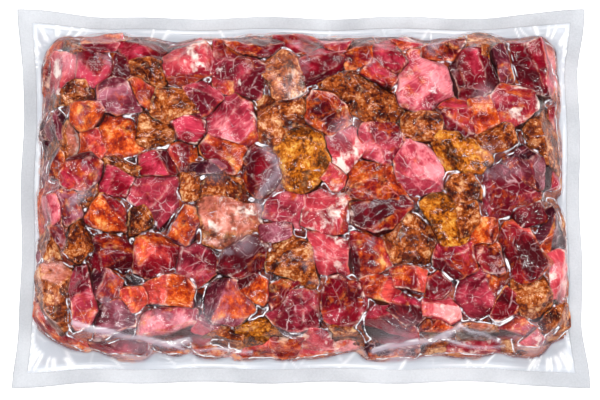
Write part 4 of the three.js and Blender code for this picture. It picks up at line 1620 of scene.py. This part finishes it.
        # Its depth is measured square to the film, so that the dice stand out of it at the steep sides too
        rise_y, rise_x = np.gradient(film, self.bag.pitch)
        depth = self.juice_depth * np.sqrt(1.0 + np.minimum(rise_x**2 + rise_y**2, self.steepest**2))
        upper = self.bag.sheet("juice", grid, np.maximum(film - depth, grid["level"] + self.web_gap), filled)
        rows = mesh_nodes(upper)
        x, y = grid["x"], grid["y"] - self.bag.heap.offset
        room = np.minimum(self.bag.heap.length / 2 - np.abs(x), self.bag.heap.width / 2 - np.abs(y))
        least, more = self.spice
        start, run = self.spice_run
        spice = (least + more * smoothstep(start - room, 0.0, run)).ravel()[rows]
        lower = self.bag.sheet("juice_below", back, under + self.juice_depth, back["out"] < self.juice_reach)
        mesh_nodes(lower)
        lower.flip_normals()
        spice = np.concatenate((spice, np.full(len(lower.vertices), self.under_spice)))
        bm = bmesh.new()
        bm.from_mesh(upper)
        bm.from_mesh(lower)
        bm.to_mesh(upper)
        bm.free()
        bpy.data.meshes.remove(lower)
        attribute(upper, "spice", spice)
        return finished("juice", upper, JuiceFinish().build())

    def web(
        self,
        grid: dict[str, np.ndarray],
        film: np.ndarray,
        heights: np.ndarray,
        margin: np.ndarray,
        folds: np.ndarray,
        creased: tuple[np.ndarray, np.ndarray],
    ) -> bpy.types.Object:
        """The upper web of film.

        Args:
            grid: the film's grid.
            film: height of the web.
            heights: height of the dice, or nan where there are none.
            margin: height of the web in the margin.
            folds: height of the folds in the margin.
            creased: height of the creases over the dice, and brightness of the painted highlight on their
                crests.

        Returns:
            The piece.
        """
        mesh = self.bag.sheet("upper_web", grid, film, grid["edge"] > self.bag.seal_width - self.web_lap)
        rows = mesh_nodes(mesh)
        strip = smoothstep(margin + self.strip_run - film, 0.0, self.strip_run)
        bridge = smoothstep(film - np.nan_to_num(heights, nan=-1.0), *self.bridge_run)
        patch = np.zeros(film.shape)
        # Milky patches, partly a painted sheen
        for x, y, radius, strength in MILKY_SHEEN:
            away = np.hypot(grid["x"] - x, grid["y"] - y)
            patch = np.maximum(patch, strength * smoothstep(radius - away, 0.0, radius))
        cloudy = 0.5 + 0.5 * np.sin(grid["x"] / 9 + 2 * np.sin(grid["y"] / 11)) * np.sin(grid["y"] / 8)
        haze = 0.001 + self.bridge_haze * bridge * cloudy**2 + self.milky_sheen_haze * patch * (0.3 + 0.7 * bridge)
        haze = np.maximum(haze, self.crease_haze * creased[0])
        # The margin turns grey, which is partly painted shade
        haze = haze * (1 - strip) + self.strip_haze * strip
        # Painted glints: the folds of the margin and the crests of the creases turn white
        gleam = np.maximum(folds * strip, creased[1])
        haze = haze + (self.gleam_haze - haze) * gleam
        attribute(mesh, "haze", haze.ravel()[rows])
        attribute(mesh, "gleam", gleam.ravel()[rows])
        attribute(mesh, "strip", strip.ravel()[rows])
        # Where the film leaves a die, which takes a painted highlight line
        near = film - np.nan_to_num(heights, nan=-9.0) < self.clearance + self.touch_gap
        touch = softened(near.astype(float), 2)
        attribute(mesh, "touch", (touch * (1 - strip)).ravel()[rows])
        rise = film - margin
        foot = smoothstep(rise, 0.0, self.foot_rise) * smoothstep(self.foot_top - rise, 0.0, self.foot_fade)
        attribute(mesh, "foot", softened(foot, 2).ravel()[rows])
        return finished("upper_web", mesh, FilmFinish().build())

    def back_web(self, grid: dict[str, np.ndarray], under: np.ndarray) -> bpy.types.Object:
        """The lower web.

        Args:
            grid: the lower web's grid.
            under: its height.

        Returns:
            The piece.
        """
        mesh = self.bag.sheet("lower_web", grid, under, grid["edge"] > self.bag.seal_width - self.back_lap)
        rows = mesh_nodes(mesh)
        # The margin of the lower web turns grey too, partly painted shade
        strip = smoothstep(grid["out"], 0.3, 0.6).ravel()[rows]
        attribute(mesh, "haze", 0.02 + 0.4 * strip)
        attribute(mesh, "strip", strip)
        mesh.flip_normals()
        return finished("lower_web", mesh, FilmFinish(name="vacuum_film_back").build())

    def seal(self, grid: dict[str, np.ndarray]) -> bpy.types.Object:
        """The welded seal round the margin.

        Args:
            grid: the film's grid.

        Returns:
            The piece.
        """
        band = grid["edge"] < self.bag.seal_width + self.seal_lap
        mesh = self.bag.sheet("welded_seal", grid, grid["level"], band)
        mesh_nodes(mesh)
        piece = finished("welded_seal", mesh, SealFinish().build())
        solid = piece.modifiers.new("thickness", "SOLIDIFY")
        solid.thickness = self.seal_thickness / METRE
        solid.offset = 0.0
        return piece


@dataclass(frozen=True)
class SoftBox:
    """An area light turned to the pack: its place, width and depth in metres, and its power in watts."""

    name: str
    place: tuple[float, float, float]
    size: Point
    power: float

    def hang(self) -> None:
        """Put the light in the scene."""
        data = bpy.data.lights.new(self.name, "AREA")
        data.shape = "RECTANGLE"
        data.size, data.size_y = self.size
        data.energy = self.power
        lamp = bpy.data.objects.new(self.name, data)
        lamp.location = self.place
        lamp.rotation_euler = (-Vector(self.place)).to_track_quat("-Z", "Y").to_euler()
        bpy.context.scene.collection.objects.link(lamp)


@dataclass
class Studio:
    """The camera of the photograph, a pale floor and soft studio light."""

    elevation: float = 81.0
    distance: float = 1900.0
    lens: float = 184.1
    aim_x: float = -0.6
    aim_y: float = -1.4
    floor_colour: str = "#f4f4f5"
    floor_glow: float = 0.45
    sky_colour: str = "#fbf9f8"
    fill: float = 0.48
    walls: float = 0.22
    ceiling: float = 0.03
    boxes: tuple[SoftBox, ...] = (
        SoftBox("back_box", (0.2, 1.6, 2.8), (2.2, 0.9), 57.0),
        SoftBox("right_box", (2.3, 0.1, 2.4), (0.5, 1.3), 48.0),
        SoftBox("left_box", (-2.3, 0.1, 2.4), (0.5, 1.3), 28.0),
        SoftBox("front_box", (-0.6, -2.2, 3.2), (1.4, 0.8), 59.0),
    )

    def camera(self) -> None:
        """Look down on the pack from a little in front of it."""
        data = bpy.data.cameras.new("camera")
        data.lens = self.lens
        data.sensor_width = 36.0
        data.clip_end = 20.0
        camera = bpy.data.objects.new("camera", data)
        angle = math.radians(self.elevation)
        away = Vector((0.0, -math.cos(angle), math.sin(angle))) * self.distance
        camera.location = (away + Vector((self.aim_x, self.aim_y, 0.0))) / METRE
        camera.rotation_euler = (math.pi / 2 - angle, 0.0, 0.0)
        bpy.context.scene.collection.objects.link(camera)
        bpy.context.scene.camera = camera

    def floor(self) -> None:
        """A white sweep that is lit through, so that it stays white."""
        bm = bmesh.new()
        bmesh.ops.create_grid(bm, x_segments=1, y_segments=1, size=3.0)
        bmesh.ops.translate(bm, vec=(0.0, 0.0, -0.0003), verts=bm.verts)
        mesh = bpy.data.meshes.new("floor")
        bm.to_mesh(mesh)
        bm.free()
        material = bpy.data.materials.new("lit_acrylic_table")
        material.use_nodes = True
        surface = material.node_tree.nodes["Principled BSDF"]
        surface.inputs["Base Color"].default_value = linear(self.floor_colour)
        surface.inputs["Roughness"].default_value = 0.9
        surface.inputs["Emission Color"].default_value = linear("#ffffff")
        surface.inputs["Emission Strength"].default_value = self.floor_glow
        mesh.materials.append(material)
        floor = bpy.data.objects.new("floor", mesh)
        bpy.context.scene.collection.objects.link(floor)
        floor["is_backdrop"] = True

    def build(self) -> None:
        """Set the camera, the floor, the lights and the world."""
        self.camera()
        self.floor()
        for box in self.boxes:
            box.hang()
        world = bpy.data.worlds.new("studio")
        world.use_nodes = True
        tree = world.node_tree
        # Gloss sees white walls, and a dim ceiling between the soft boxes
        glossy = add(tree, "LightPath", out="Is Glossy Ray")
        bearing = add(tree, "TexCoord", out="Generated")
        rise = add(tree, "SeparateXYZ", {"Vector": bearing}, "Z")
        links = {VALUE: rise, LOW: 0.05, HIGH: 0.5, START: self.walls, END: self.ceiling}
        seen = add(tree, "MapRange", links)
        strength = add(tree, "Mix", {SHARE: glossy, 2: self.fill, 3: seen}, data_type="FLOAT")
        sky = tree.nodes["Background"]
        sky.inputs["Color"].default_value = linear(self.sky_colour)
        tree.links.new(strength, sky.inputs["Strength"])
        bpy.context.scene.world = world
        bpy.context.scene.view_settings.view_transform = "Standard"


def main() -> None:
    """Build the pack in order."""
    logging.basicConfig(level=logging.INFO, format="%(message)s")
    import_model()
    Studio().build()
    dice = Dice().build()
    _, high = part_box(NODE)
    Wrapping(bag=Bag(high=high), dice=dice).build()
    low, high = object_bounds()


if __name__ == "__main__":
    main()
